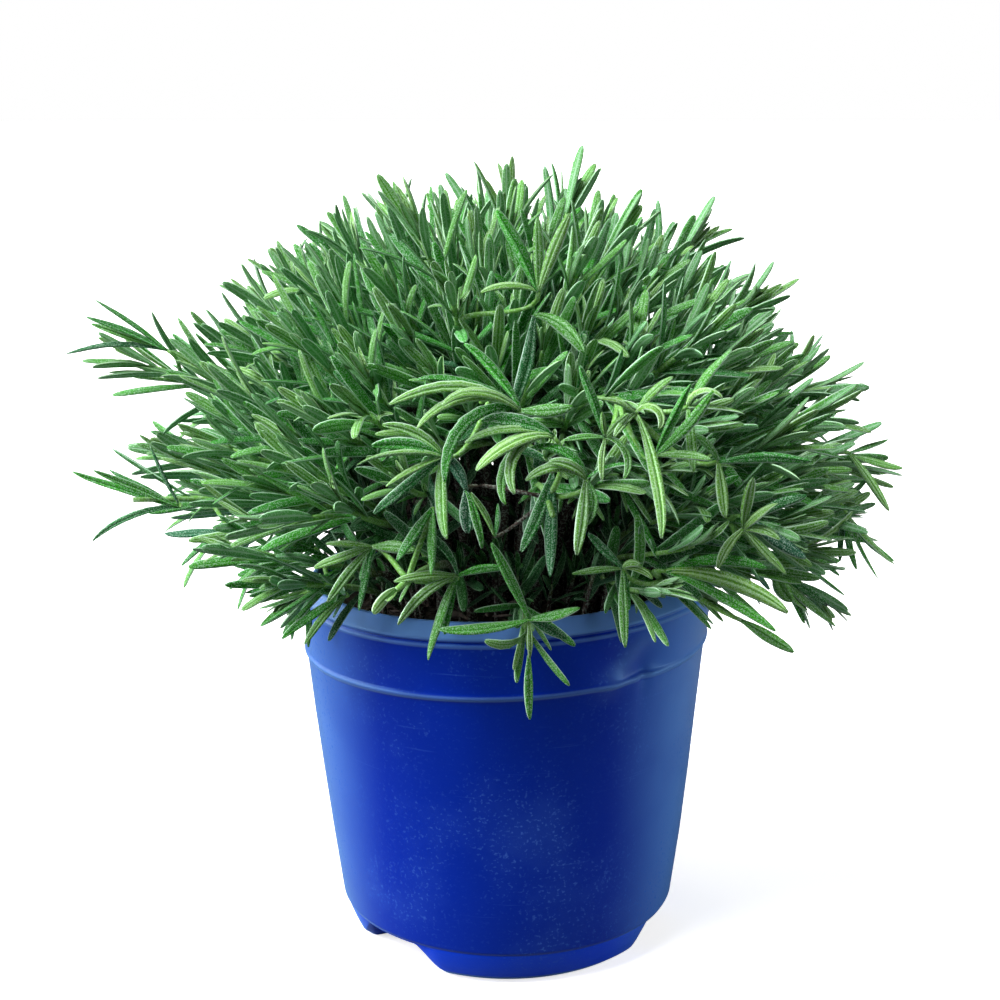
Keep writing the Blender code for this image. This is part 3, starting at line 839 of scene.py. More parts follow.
def leaf_material(settings):
    """Felted green: a groove, ridges on young leaves, pale margins, a paler underside."""
    name = "lavender leaf"
    if name in bpy.data.materials:
        return bpy.data.materials[name]
    material, tree = new_material(name)
    youth, chance, under = point_tint(tree)
    chart = node(tree, "ShaderNodeUVMap", uv_map=LEAF_MAP).outputs[0]
    axes = node(tree, "ShaderNodeSeparateXYZ", {0: chart}).outputs
    off_middle = calc(tree, "ABSOLUTE", calc(tree, "SUBTRACT", axes[0], 0.5))
    grain = placed_group(tree, felt_group(), Vector=object_coordinates(tree))

    green = blend(tree, rise(tree, youth, 0.0, 0.45), rgba(settings.old), rgba(settings.grown))
    green = blend(tree, rise(tree, youth, 0.42, 1.0), green, rgba(settings.young))
    deep = blend(tree, 1.0, green, DEEP_GREEN, "MULTIPLY")
    green = blend(tree, calc(tree, "MULTIPLY", grain["Mottle"], 0.4), green, deep)
    shade = calc(tree, "MULTIPLY", calc(tree, "POWER", chance, 1.5), 0.75)
    green = blend(tree, shade, green, deep)

    # Fibres run the length of a leaf, and a young one is ridged between its dark lines
    stretched = [
        calc(tree, "MULTIPLY", value, scale)
        for value, scale in ((axes[0], 11.0), (axes[1], 2.0), (chance, 90.0))
    ]
    spread_out = node(tree, "ShaderNodeCombineXYZ", dict(enumerate(stretched))).outputs[0]
    fibres = noise_texture(tree, spread_out, 1.0, 2.0)
    green = blend(tree, rise(tree, fibres, 0.42, 0.7, 0.0, 0.6), green, deep)
    wave = calc(tree, "COSINE", calc(tree, "MULTIPLY", off_middle, math.tau / 0.3))
    ridge = rise(tree, wave, -0.7, 0.5, 1.0, 0.0)
    youthful = rise(tree, youth, 0.4, 0.95, 0.0, 0.6)
    pale = blend(tree, 0.32, green, rgba(settings.felt))
    ridged = blend(tree, ridge, deep, pale)
    green = blend(tree, youthful, green, ridged)
    dotted = calc(tree, "MULTIPLY", grain["Dots"], 0.34)
    green = blend(tree, dotted, green, rgba(settings.felt))
    groove = rise(tree, off_middle, 0.015, 0.07, 0.75, 0.0)
    green = blend(tree, groove, green, deep)
    margin = rise(tree, off_middle, 0.41, 0.48, 0.0, 0.6)
    green = blend(tree, margin, green, rgba(settings.felt))
    rib = rise(tree, off_middle, 0.04, 0.12, 0.45, 0.0)
    rib = calc(tree, "MAXIMUM", rib, dotted)
    below = blend(tree, rib, rgba(settings.underside), rgba(settings.felt))
    green = blend(tree, calc(tree, "MULTIPLY", under, 0.75), green, below)
    # Painted shade: leaves inside the dome are darkened by their nearness to its middle
    ends = {0: object_coordinates(tree), 1: (0.0, 0.0, CROWN_HEIGHT * MM)}
    from_crown = node(tree, "ShaderNodeVectorMath", ends, operation="DISTANCE").outputs["Value"]
    within = rise(tree, from_crown, SHADED_RADII[0] * MM, SHADED_RADII[1] * MM, 0.92, 0.0)
    shaded = blend(tree, 1.0, green, SHADED_GREEN, "MULTIPLY")
    green = blend(tree, within, green, shaded)
    # A few old leaves turn dark purple at the tip
    aged = rise(tree, youth, 0.2, 0.4, 1.0, 0.0)
    old_tip = calc(tree, "MULTIPLY", rise(tree, chance, 0.9, 0.96), aged)
    turned = calc(tree, "MULTIPLY", rise(tree, axes[1], 0.9, 1.0), old_tip)
    green = blend(tree, turned, green, OLD_TIP)

    height = calc(tree, "ADD", grain["Height"], calc(tree, "MULTIPLY", ridge, youthful))
    set_principled(
        tree, green, bump(tree, height, 0.8, 0.3 * MM), Roughness=0.52,
        Specular_IOR_Level=0.15, Specular_Tint=(0.85, 1.0, 0.85, 1.0),
        Sheen_Weight=0.04, Sheen_Roughness=0.35, Sheen_Tint=(0.8, 1.0, 0.85, 1.0),
    )
    return material


def stem_material(settings):
    """Green and felted near the tip, purple-brown and ridged towards the soil."""
    name = "lavender stem"
    if name in bpy.data.materials:
        return bpy.data.materials[name]
    material, tree = new_material(name)
    youth = point_tint(tree)[0]
    grain = placed_group(tree, felt_group(), Vector=object_coordinates(tree), Grain=1500.0)
    colour = blend(tree, rise(tree, youth, 0.3, 0.8), rgba(settings.bark), rgba(settings.shoot))
    darker = blend(tree, 1.0, colour, HALF_GREY, "MULTIPLY")
    colour = blend(tree, calc(tree, "MULTIPLY", grain["Mottle"], 0.6), colour, darker)
    colour = blend(tree, calc(tree, "MULTIPLY", grain["Dots"], 0.25), colour, rgba(settings.felt))
    set_principled(tree, colour, bump(tree, grain["Height"], 0.5, 0.3 * MM), Roughness=0.7)
    return material


def dry_material(settings):
    """A dry, curled leaf: grey-brown and mottled."""
    name = "dry leaf"
    if name in bpy.data.materials:
        return bpy.data.materials[name]
    material, tree = new_material(name)
    chance = point_tint(tree)[1]
    grain = placed_group(tree, felt_group(), Vector=object_coordinates(tree), Mottle=300.0)
    colour = blend(tree, chance, rgba(settings.dry), DRY_GREY)
    colour = blend(tree, grain["Mottle"], colour, rgba(settings.earth))
    set_principled(tree, colour, bump(tree, grain["Height"], 0.6, 0.4 * MM), Roughness=0.85)
    return material


def soil_material(settings):
    """Damp potting soil: near black, with brown fibres and a few pale grains."""
    name = "potting soil"
    if name in bpy.data.materials:
        return bpy.data.materials[name]
    material, tree = new_material(name)
    place = object_coordinates(tree)
    grain = placed_group(tree, felt_group(), Vector=place, Grain=700.0, Mottle=160.0)
    dust = placed_group(tree, dust_group(), Vector=place, Specks=330.0)
    brown = blend(tree, grain["Mottle"], rgba(settings.earth), BARK_BROWN)
    brown = blend(tree, calc(tree, "MULTIPLY", dust["Dust"], 0.5), brown, PALE_GRAINS)
    set_principled(tree, brown, bump(tree, grain["Height"], 0.8, 1.2 * MM), Roughness=0.92)
    return material


def between(tree, value, low, high, edge):
    """1 between two values and 0 outside them, with a soft edge."""
    rising = rise(tree, value, low - edge, low + edge)
    return calc(tree, "MULTIPLY", rising, rise(tree, value, high - edge, high + edge, 1.0, 0.0))


def plastic_material(settings):
    """Blue moulded plastic: paler at the lip, with highlights painted on its beads and fold, a
    brighter blue painted at its foot for the light the floor throws up, dusty, scuffed, and hazy
    at its sides with dust and painted sheen.
    """
    name = "blue plastic"
    if name in bpy.data.materials:
        return bpy.data.materials[name]
    material, tree = new_material(name)
    place = object_coordinates(tree)
    dust = placed_group(tree, dust_group(), Vector=place)
    grain = placed_group(tree, felt_group(), Vector=place, Mottle=34.0)
    axes = node(tree, "ShaderNodeSeparateXYZ", {0: place}).outputs
    slope = calc(tree, "MULTIPLY", axes[0], settings.tilt / (LIP_RADIUS * MM))
    level = calc(tree, "SUBTRACT", axes[2], slope)
    fold = node(tree, "ShaderNodeAttribute", attribute_name=FOLD_HIGHLIGHT).outputs["Fac"]

    # Paler at the lip; the same pale blue is also painted as highlights on the beads and the fold
    lip_and_highlights = rgba(settings.lip_and_highlights)
    lip = rise(tree, level, PALE_LIP[0] * MM, PALE_LIP[1] * MM, 0.0, 0.85)
    colour = blend(tree, lip, rgba(settings.plastic), lip_and_highlights)
    # Painted highlights: pale lines along the two beads
    for low, high in BEAD_HIGHLIGHTS:
        bead = between(tree, level, low * MM, high * MM, 0.3 * MM)
        colour = blend(tree, calc(tree, "MULTIPLY", bead, 0.5), colour, lip_and_highlights)
    # A painted highlight along the fold in the collar
    colour = blend(tree, calc(tree, "MULTIPLY", fold, 0.3), colour, lip_and_highlights)
    # Painted light: a brighter blue below the foot's edge stands in for the light that the floor
    # throws up at it
    foot = rise(tree, axes[2], FOOT_EDGE[0] * MM, FOOT_EDGE[1] * MM, 0.7, 0.0)
    colour = blend(tree, foot, colour, FOOT_PAINTED_LIGHT_BLUE)
    # Dust and painted sheen: a pale haze at the left and right sides, partly dust and partly a
    # painted reflection of the light there
    left = rise(tree, axes[0], LEFT_DUST_AND_PAINTED_SHEEN[0] * MM, LEFT_DUST_AND_PAINTED_SHEEN[1] * MM, 0.57, 0.0)
    right = rise(tree, axes[0], RIGHT_DUST_AND_PAINTED_SHEEN[0] * MM, RIGHT_DUST_AND_PAINTED_SHEEN[1] * MM, 0.0, 0.73)
    dust_and_painted_sheen = calc(tree, "ADD", left, right)
    dust_and_painted_sheen = calc(tree, "MULTIPLY", dust_and_painted_sheen, rise(tree, grain["Mottle"], 0.0, 1.0, 0.86, 1.0))
    colour = blend(tree, dust_and_painted_sheen, colour, DUST_AND_PAINTED_SHEEN_BLUE)
    for mark, strength in (("Scuffs", 0.2), ("Film", 0.14), ("Dust", 0.5)):
        share = calc(tree, "MULTIPLY", dust[mark], strength)
        colour = blend(tree, share, colour, rgba(settings.dust))
    rough = rise(tree, dust["Dust"], 0.0, 0.6, 0.34, 0.6)
    set_principled(
        tree, colour, bump(tree, grain["Height"], 0.1, 0.2 * MM), Roughness=rough,
        Specular_IOR_Level=0.3, Specular_Tint=(0.2, 0.6, 1.0, 1.0),
        Sheen_Weight=0.3, Sheen_Roughness=0.3, Sheen_Tint=(0.35, 0.8, 1.0, 1.0),
    )
    return material


def floor_material(settings):
    """A plain pale floor that throws only part of its light back up at the plant."""
    material, tree = new_material("pale floor")
    seen = node(tree, "ShaderNodeLightPath").outputs["Is Camera Ray"]
    colour = blend(tree, seen, DIM_GREY, rgba(settings.floor))
    set_principled(
        tree, colour, Roughness=0.9, Specular_IOR_Level=0.1,
        Emission_Color=WHITE, Emission_Strength=calc(tree, "MULTIPLY", seen, 0.68),
    )
    return material


def even_light(strength):
    """A world that lights evenly and is plain white where it is seen."""
    world = bpy.data.worlds.new("even light")
    world.use_nodes = True
    tree = world.node_tree
    seen = node(tree, "ShaderNodeLightPath").outputs["Is Camera Ray"]
    inputs = {0: seen, 2: strength, 3: 1.0}
    level = node(tree, "ShaderNodeMix", inputs, data_type="FLOAT").outputs[0]
    background = tree.nodes["Background"]
    background.inputs["Color"].default_value = WHITE
    tree.links.new(level, background.inputs["Strength"])
    return world


# ---------------------------------------------------------------- forms that repeat


def extruded_form(name, section, stations, widths):
    """A form one unit long up +Z: a section extruded and scaled from station to station."""
    if name in bpy.data.meshes:
        mesh = bpy.data.meshes[name]
    else:
        mesh = model_form(name, section, stations, widths)
    places = np.empty(len(mesh.vertices) * 3)
    mesh.vertices.foreach_get("co", places)
    places = places.reshape(-1, 3)
    ring = np.abs(places[:, 2:3] - np.array(stations)).argmin(axis=1)
    under = places[:, 1] < UNDER_DEPTH * np.array(widths)[ring]
    return Form(mesh, places[:, 0], places[:, 1], under, ring, np.array(stations))


def model_form(name, section, stations, widths):
    """Models a form and keeps its mesh for the copies."""
    clear_selection()
    bpy.ops.mesh.primitive_circle_add(vertices=len(section), radius=1, fill_type="NGON")
    shaped = bpy.context.object
    for vert in shaped.data.vertices:
        turn = round(math.atan2(vert.co.y, vert.co.x) / math.tau * len(section))
        vert.co.x, vert.co.y = section[turn % len(section)]
    bpy.ops.object.mode_set(mode="EDIT")
    bpy.ops.mesh.select_all(action="SELECT")
    bpy.ops.transform.resize(value=(widths[0], widths[0], 1), center_override=(0, 0, 0))
    for (low, high), (before, after) in zip(pairwise(stations), pairwise(widths)):
        bpy.ops.mesh.extrude_region_move(TRANSFORM_OT_translate={"value": (0, 0, high - low)})
        ratio = after / before
        bpy.ops.transform.resize(value=(ratio, ratio, 1), center_override=(0, 0, high))
    bpy.ops.mesh.select_all(action="SELECT")
    bpy.ops.mesh.normals_make_consistent(inside=False)
    bpy.ops.object.mode_set(mode="OBJECT")
    bpy.ops.object.shade_smooth()
    mesh = shaped.data
    mesh.name = name
    mesh.use_fake_user = True
    chart = mesh.uv_layers.new(name=LEAF_MAP)
    for loop in mesh.loops:
        place = mesh.vertices[loop.vertex_index].co
        station = min(range(len(stations)), key=lambda i: abs(stations[i] - place.z))
        chart.data[loop.index].uv = (0.5 + 0.5 * place.x / widths[station], place.z)
    mesh.color_attributes.new(LEAF_TINT, "FLOAT_COLOR", "POINT")
    bpy.data.objects.remove(shaped)
    return mesh


def leaf_form():
    """One leaf: two crests beside a groove, margins rolled under, blunt at its tip."""
    return extruded_form("leaf form", LEAF_SECTION, LEAF_STATIONS, LEAF_WIDTHS)


def front_form():
    """A leaf with more stations, for the listed tufts."""
    return extruded_form("front leaf form", FRONT_SECTION, FRONT_STATIONS, FRONT_WIDTHS)


def small_form():
    """A plainer leaf, for the many small and hidden ones."""
    return extruded_form("small leaf form", SMALL_SECTION, SMALL_STATIONS, SMALL_WIDTHS)


def stem_form():
    """One stem: square with rounded corners."""
    widths = (1.0,) * len(STEM_STATIONS)
    return extruded_form("stem form", STEM_SECTION, STEM_STATIONS, widths)


def add_copy(form, places, tint, material):
    """A copy of a form with its own mesh, its vertices at these places in millimetres."""
    mesh = form.mesh.copy()
    mesh.use_fake_user = False
    mesh.vertices.foreach_set("co", (places * MM).ravel())
    colours = np.ones((len(places), 4))
    colours[:, :3] = tint
    mesh.color_attributes[LEAF_TINT].data.foreach_set("color", colours.ravel())
    mesh.materials.clear()
    mesh.materials.append(material)
    copy = bpy.data.objects.new("copy", mesh)
    bpy.context.scene.collection.objects.link(copy)
    return copy


def along_spine(root, ways, across, shares, length):
    """The middle, across and up of a leaf at each of its stations."""
    steps = np.diff(shares)[:, None] * length * (ways[1:] + ways[:-1]) / 2
    middle = np.vstack([root, root + np.cumsum(steps, axis=0)])
    across = units(across - ways * np.sum(across * ways, axis=1)[:, None])
    return middle, across, np.cross(ways, across)


def turned_spine(spine, turns):
    """The spine with its blade turned about it by an angle at each station."""
    middle, across, up = spine
    cosine, sine = np.cos(turns)[:, None], np.sin(turns)[:, None]
    return middle, across * cosine + up * sine, up * cosine - across * sine


def add_leaf(form, spine, width, thickness, youth, rng, material):
    """A copy of a leaf's form, laid along a spine."""
    middle, across, up = spine
    sideways = across[form.ring] * (form.across * width / 2)[:, None]
    upward = up[form.ring] * (form.up * thickness)[:, None]
    tint = np.empty((len(form.ring), 3))
    tint[:, 0] = np.clip(youth, 0, 1)
    tint[:, 1] = rng.random()
    tint[:, 2] = form.under
    return add_copy(form, middle[form.ring] + sideways + upward, tint, material)


# ---------------------------------------------------------------- the lines of the stems


class Line:
    """A smooth line that is read by the distance from its lower end."""

    def __init__(self, points, side, roll):
        self.points = np.array([tuple(point) for point in points])
        steps = np.linalg.norm(np.diff(self.points, axis=0), axis=1)
        self.marks = np.concatenate([[0.0], np.cumsum(steps)])
        self.length = self.marks[-1]
        self.side = np.array(tuple(side))
        self.roll = roll

    def at(self, distance):
        """The point at this distance."""
        return np.array([np.interp(distance, self.marks, self.points[:, k]) for k in range(3)])

    def way(self, distance):
        """The direction of the line at this distance."""
        reach = np.clip(distance, 1.0, self.length - 1.0)
        return unit(self.at(reach + 1.0) - self.at(reach - 1.0))

    def outward(self, distance, angle):
        """The direction away from the line at this angle about it."""
        way = self.way(distance)
        across = unit(self.side - way * (self.side @ way))
        turned = angle + self.roll
        return across * math.cos(turned) + np.cross(way, across) * math.sin(turned)


def at_azimuth(azimuth, radius, height):
    """A point by its azimuth in radians, from the front towards +X."""
    return Vector((radius * math.sin(azimuth), -radius * math.cos(azimuth), height))


def skirt_polar(azimuth):
    """How far down the dome reaches: least at the front, and less at the left."""
    front = max(0.0, math.cos(azimuth)) ** 2
    left = max(0.0, -math.sin(azimuth)) ** 2
    lift = (FRONT_POLAR - SKIRT_POLAR) * front + (LEFT_POLAR - SKIRT_POLAR) * left
    return SKIRT_POLAR + lift


def dome_sprigs(count, rng, start=0.0):
    """Sprigs spread evenly over the dome, from its top to its skirt."""
    for index in range(count):
        share = (index + 0.5) / count
        azimuth = index * GOLDEN_ANGLE + start
        polar = math.acos(1 - share * (1 - math.cos(SKIRT_POLAR)))
        polar *= skirt_polar(azimuth) / SKIRT_POLAR
        reach = STEM_REACH + BACK_REACH * max(0.0, -math.cos(azimuth))
        reach += rng.uniform(-REACH_SPREAD, REACH_SPREAD)
        level = 90 - math.degrees(polar)
        climb = CLIMB_SHARE * max(level, 0) + DROOP * min(level, 0)
        climb += rng.uniform(-CLIMB_SPREAD, CLIMB_SPREAD)
        turn = rng.uniform(-TURN_SPREAD, TURN_SPREAD)
        out, up = reach * math.sin(polar), reach * math.cos(polar)
        yield Sprig(math.degrees(azimuth), out, CROWN_HEIGHT + up, climb, turn)


def sprig_direction(sprig):
    """The unit vector from the middle of the dome to the sprig's tip."""
    tip = at_azimuth(math.radians(sprig.azimuth), sprig.reach, sprig.height)
    return (tip - Vector((0, 0, CROWN_HEIGHT))).normalized()


def frame_sprigs(rng):
    """The sprigs of the frame: those listed, and the regular ones clear of them."""
    features = [sprig_direction(sprig) for sprig in FEATURE_SPRIGS]
    regular = [
        sprig
        for sprig in dome_sprigs(STEM_COUNT, rng)
        if all(sprig_direction(sprig).angle(way) > CLEAR_OF_FEATURE for way in features)
    ]
    return [*FEATURE_SPRIGS, *regular]


def bezier(*handles):
    """Points along the cubic curve of four handles."""
    points = []
    for index in range(CURVE_STEPS + 1):
        share = index / CURVE_STEPS
        rest = 1 - share
        weights = (rest**3, 3 * rest**2 * share, 3 * rest * share**2, share**3)
        points.append(sum((w * handle for w, handle in zip(weights, handles)), Vector()))
    return points


def end_direction(sprig):
    """The direction in which a sprig ends."""
    climb = math.radians(sprig.climb)
    end_azimuth = math.radians(sprig.azimuth + sprig.turn)
    return at_azimuth(end_azimuth, math.cos(climb), math.sin(climb))


def stem_line(sprig, rng):
    """The line of a stem: upright in its hole, then one smooth curve to its tip."""
    azimuth = math.radians(sprig.azimuth)
    polar = sprig_direction(sprig).angle(Vector((0, 0, 1)))
    base_radius = BASE_SPREAD * min(1.0, polar / SKIRT_POLAR) ** BASE_EASE
    foot = at_azimuth(azimuth, base_radius, SOIL_TOP - HOLE_DEPTH)
    start = foot + Vector((0, 0, HOLE_DEPTH + LUMP_HEIGHT))
    tip = at_azimuth(azimuth, sprig.reach, sprig.height)
    span = (tip - start).length
    rising = start + Vector((0, 0, RISE_SHARE * span))
    curve = bezier(start, rising, tip - end_direction(sprig) * END_SHARE * span, tip)
    side = at_azimuth(azimuth + math.pi / 2, 1, 0)
    return Line([foot, *curve], side, rng.uniform(0, math.pi / 2))


def branch_line(parent, from_tip, tip, end_way, rng):
    """A line that leaves a parent line and bends to its own tip."""
    start = Vector(parent.at(parent.length - from_tip))
    leaving = Vector(parent.way(parent.length - from_tip))
    span = (tip - start).length
    bent = start + leaving * BRANCH_SHARES[0] * span
    curve = bezier(start, bent, tip - end_way * BRANCH_SHARES[1] * span, tip)
    return Line(curve, parent.side, rng.uniform(0, math.pi / 2))


def in_open_zone(sprig):
    """Whether the dome is open here: in the front hollow, and low at the left and right."""
    azimuth = (sprig.azimuth + 180) % 360 - 180
    return any(
        first <= azimuth < last and sprig.height < top for first, last, top in OPEN_ZONES
    )


def side_shoots(stems, directions, count, rng):
    """Shoots that branch from the nearest stem and fill the dome between the tips."""
    shoots = [[] for _ in stems]
    for sprig in dome_sprigs(count, rng, start=SHOOT_START):
        way = sprig_direction(sprig)
        angles = [way.angle(other) for other in directions]
        nearest = min(range(len(angles)), key=angles.__getitem__)
        if angles[nearest] < SHOOT_CLEARANCE or in_open_zone(sprig):
            continue
        level = 90 - math.degrees(math.acos(way.z))
        reach = rng.uniform(*SHOOT_REACH) - SHOOT_LIFT * max(0.0, way.z)
        tip = at_azimuth(
            math.radians(sprig.azimuth),
            sprig.reach * reach,
            CROWN_HEIGHT + (sprig.height - CROWN_HEIGHT) * reach,
        )
        climb = SHOOT_CLIMB * (1 - max(level, 0) / 90) + max(level, 0) + DROOP * min(level, 0)
        climb += rng.uniform(-SHOOT_CLIMB_SPREAD, SHOOT_CLIMB_SPREAD)
        raised = sprig._replace(climb=climb)
        from_tip = rng.uniform(*SHOOT_FROM_TIP)
        shoots[nearest].append(
            branch_line(stems[nearest], from_tip, tip, end_direction(raised), rng)
        )
    return shoots


# ---------------------------------------------------------------- leaves

# Some leaves are unruly: all that bends, droops, sways or twists them is greater
UNRULY_CHANCE = 0.16
UNRULY = 2.6
DROOPS = (0.0, 0.22)
BENDS = (-0.9, 1.9)
SWAYS = (-0.11, 0.11)
TWISTS = (-0.4, 0.4)
# How far a leaf may close towards its shoot to stay clear of the pot
SQUEEZES = (1.0, 0.75, 0.5, 0.3)

PAIR_SWINGS = (-6, 6)
PAIR_SIZES = (0.85, 1.12)
PAIR_WIDTHS = (0.85, 1.15)
PAIR_YOUTHS = (-0.12, 0.12)
FULL_WIDTH_LENGTH = 26
NARROWEST = 0.62
LEAF_FOOT = 0.55
LOWEST_PAIR = 4
THICKNESS_BASE = 0.6
THICKNESS_RISE = 0.1

AXIL_CHANCE = 0.5
AXIL_SWINGS = (-0.6, 0.6)
AXIL_SPREADS = (0.2, 0.6)
AXIL_SIZES = (0.7, 1.3)
AXIL_WIDTHS = (0.45, 0.62)
AXIL_YOUTH = 0.25
AXIL_FOOT = 0.6
AXIL_PAIR_LENGTH = 20

# The jitter of the frame's own leaves
FRAME_SWINGS = (-4, 4)
FRAME_SIZES = (0.92, 1.08)

STEM_YOUTHS = (-0.1, 0.1)
SHOOT_YOUTHS = (-0.15, 0.12)
SHOOT_VIGOURS = (0.84, 1.04)

DRY_START = 7.0
DRY_SPACING = 3.6
DRY_HANGS = (0.0, 0.8)
DRY_CURLS = (0.4, 2.6)
DRY_SWAYS = (-0.5, 0.5)
DRY_ROLLS = (-1, 1)
DRY_TWISTS = (-2, 2)
DRY_LENGTHS = (7, 13)
DRY_WIDTHS = (1.0, 2.0)
DRY_THICKNESS = 0.9


def off_pot(points):
    """Whether points stand clear of the soil and of the pot's rim and wall."""
    radius = np.hypot(points[:, 0], points[:, 1])
    rim = POT_HEIGHT + RIM_GAP + RIM_RISE * points[:, 0] / LIP_RADIUS
    clear = (radius > LIP_RADIUS + WALL_GAP) | (points[:, 2] > rim)
    clear |= (radius < INSIDE_RADIUS) & (points[:, 2] > SOIL_TOP + SOIL_GAP)
    return bool(clear.all())


def in_view_line(points, screen):
    """Whether any point stands before the leaves of the tufts in the screen and would hide them.
    """
    if screen is None:
        return False
    viewer = unit(np.array(VIEWER))
    gaps = points[:, None, :] - screen[None, :, :]
    before = gaps @ viewer
    sideways = np.linalg.norm(gaps - before[..., None] * viewer, axis=2)
    return bool(((before > -SCREEN_DEPTH) & (sideways < SCREEN_CLEARANCE)).any())


class Foliage:
    """Grows leaves and stems as copies, and gathers those of one piece."""

    def __init__(self, settings, rng, screen=None, plain=False):
        self.leaf = leaf_material(settings)
        self.stem = stem_material(settings)
        self.dry = None
        self.leaf_form = small_form() if plain else leaf_form()
        self.front_form = front_form()
        self.small_form = small_form()
        self.stem_form = stem_form()
        self.width = settings.width * M
        self.thickness = settings.thickness * M
        self.rng = rng
        self.screen = screen
        self.copies = []

    def grow_leaf(self, root, along, outward, spread, length, width, youth):
        """A leaf in the fork of a shoot, closed towards it as far as it must be."""
        rng = self.rng
        form = self.leaf_form if length > SMALL_LEAF else self.small_form
        shares = form.shares
        side = np.cross(along, outward)
        unruly = UNRULY if rng.random() < UNRULY_CHANCE else 1.0
        droop = rng.uniform(*DROOPS) * unruly
        bend = LEAF_BEND * rng.uniform(*BENDS) * unruly
        sway = rng.uniform(*SWAYS) * unruly
        twist = rng.uniform(*TWISTS) * unruly
        for squeeze in SQUEEZES:
            turn = spread * squeeze + bend * shares
            ways = along * np.cos(turn)[:, None] + outward * np.sin(turn)[:, None]
            ways = ways + side * (sway * shares)[:, None]
            ways[:, 2] -= droop * squeeze * shares
            ways = units(ways)
            spine = along_spine(root, ways, np.tile(side, (len(shares), 1)), shares, length)
            if off_pot(spine[0][1:]):
                break
        else:
            return
        if in_view_line(spine[0], self.screen):
            return
        spine = turned_spine(spine, twist * shares)
        self.lay_leaf(form, spine, width, youth)

    def lay_leaf(self, form, spine, width, youth):
        """A copy of a leaf along a spine; a wider one is thicker too."""
        thickness = self.thickness * (THICKNESS_BASE + THICKNESS_RISE * width)
        self.copies.append(
            add_leaf(form, spine, width, thickness, youth, self.rng, self.leaf)
        )

    def grow_pair(self, line, pair, turn, vigour, youth, jitter=None):
        """Two leaves, one each side of the shoot."""
        rng = self.rng
        distance = line.length - pair.distance * vigour
        if distance < LOWEST_PAIR:
            return
        root, along = line.at(distance), line.way(distance)
        for side in (0, 2):
            if jitter:
                swing, size = jitter()
            else:
                swing, size = rng.uniform(*PAIR_SWINGS), rng.uniform(*PAIR_SIZES)
            outward = line.outward(distance, turn + side * math.pi / 2)
            spread = math.radians(pair.spread * SPREAD_EASE + swing)
            fullness = min(1.0, pair.length / FULL_WIDTH_LENGTH)
            slim = NARROWEST + (1 - NARROWEST) * fullness
            width = self.width * slim * rng.uniform(*PAIR_WIDTHS) * vigour**0.5
            own_youth = pair.youth + youth + rng.uniform(*PAIR_YOUTHS)
            foot = root + outward * LEAF_FOOT
            length = pair.length * size * vigour
            self.grow_leaf(foot, along, outward, spread, length, width, own_youth)

    def grow_axils(self, line, pair, turn, vigour, youth):
        """Small leaves in the forks of a pair."""
        rng = self.rng
        distance = line.length - pair.distance * vigour + 1.0
        along = line.way(distance)
        for side in (0, 2):
            for share in AXIL_LENGTHS:
                if rng.random() < AXIL_CHANCE:
                    continue
                angle = turn + side * math.pi / 2 + rng.uniform(*AXIL_SWINGS)
                outward = line.outward(distance, angle)
                spread = math.radians(pair.spread * rng.uniform(*AXIL_SPREADS))
                foot = line.at(distance) + outward * AXIL_FOOT
                length = pair.length * share * rng.uniform(*AXIL_SIZES)
                width = self.width * rng.uniform(*AXIL_WIDTHS)
                own_youth = pair.youth + youth + AXIL_YOUTH
                self.grow_leaf(foot, along, outward, spread, length, width, own_youth)

    def grow_shoot(self, line, pairs, vigour, youth, jitter=None, skipped=0):
        """A shoot: its pairs a quarter turn apart, without any skipped, and its axils."""
        quarter = math.pi / 2
        for number, pair in enumerate(pairs):
            if number < skipped:
                # Left out, but the frame's rule draws for both its leaves
                jitter()
                jitter()
                continue
            turn = (number % 2 + 0.5) * quarter
            self.grow_pair(line, pair, turn, vigour, youth, jitter)
            if number and pair.length > AXIL_PAIR_LENGTH:
                self.grow_axils(line, pair, turn, vigour, youth)

    def grow_stem(self, line, look):
        """A square stem along a line."""
        form = self.stem_form
        distances = form.shares * line.length
        middle = np.array([line.at(distance) for distance in distances])
        across = np.array([line.outward(distance, 0.0) for distance in distances])
        ways = np.array([line.way(distance) for distance in distances])
        up = np.cross(ways, across)
        radius = look.radius_low + (look.radius_high - look.radius_low) * form.shares
        places = middle[form.ring] + radius[form.ring][:, None] * (
            across[form.ring] * form.across[:, None] + up[form.ring] * form.up[:, None]
        )
        tint = np.zeros((len(form.ring), 3))
        youth = look.youth_low + (look.youth_high - look.youth_low) * form.shares
        tint[:, 0] = youth[form.ring]
        self.copies.append(add_copy(form, places, tint, self.stem))

    def hang_dry(self, line, top):
        """Dry leaves that hang curled from the lower part of a sprig."""
        rng = self.rng
        form = self.small_form
        shares = form.shares
        fall = np.array((0.0, 0.0, -1.0))
        for distance in np.arange(DRY_START, top, DRY_SPACING):
            outward = line.outward(distance, rng.uniform(0, math.tau))
            side = unit(np.cross(outward, fall) + np.array((1e-6, 0, 0)))
            turn = rng.uniform(*DRY_HANGS) + rng.uniform(*DRY_CURLS) * shares
            ways = outward * np.cos(turn)[:, None] + fall * np.sin(turn)[:, None]
            ways = units(ways + side * (rng.uniform(*DRY_SWAYS) * shares)[:, None])
            across = np.tile(side, (len(shares), 1))
            length = rng.uniform(*DRY_LENGTHS)
            spine = along_spine(line.at(distance), ways, across, shares, length)
            turns = rng.uniform(*DRY_ROLLS) + rng.uniform(*DRY_TWISTS) * shares
            spine = turned_spine(spine, turns)
            width = rng.uniform(*DRY_WIDTHS)
            leaf = add_leaf(form, spine, width, DRY_THICKNESS, 0.0, rng, self.dry)
            self.copies.append(leaf)

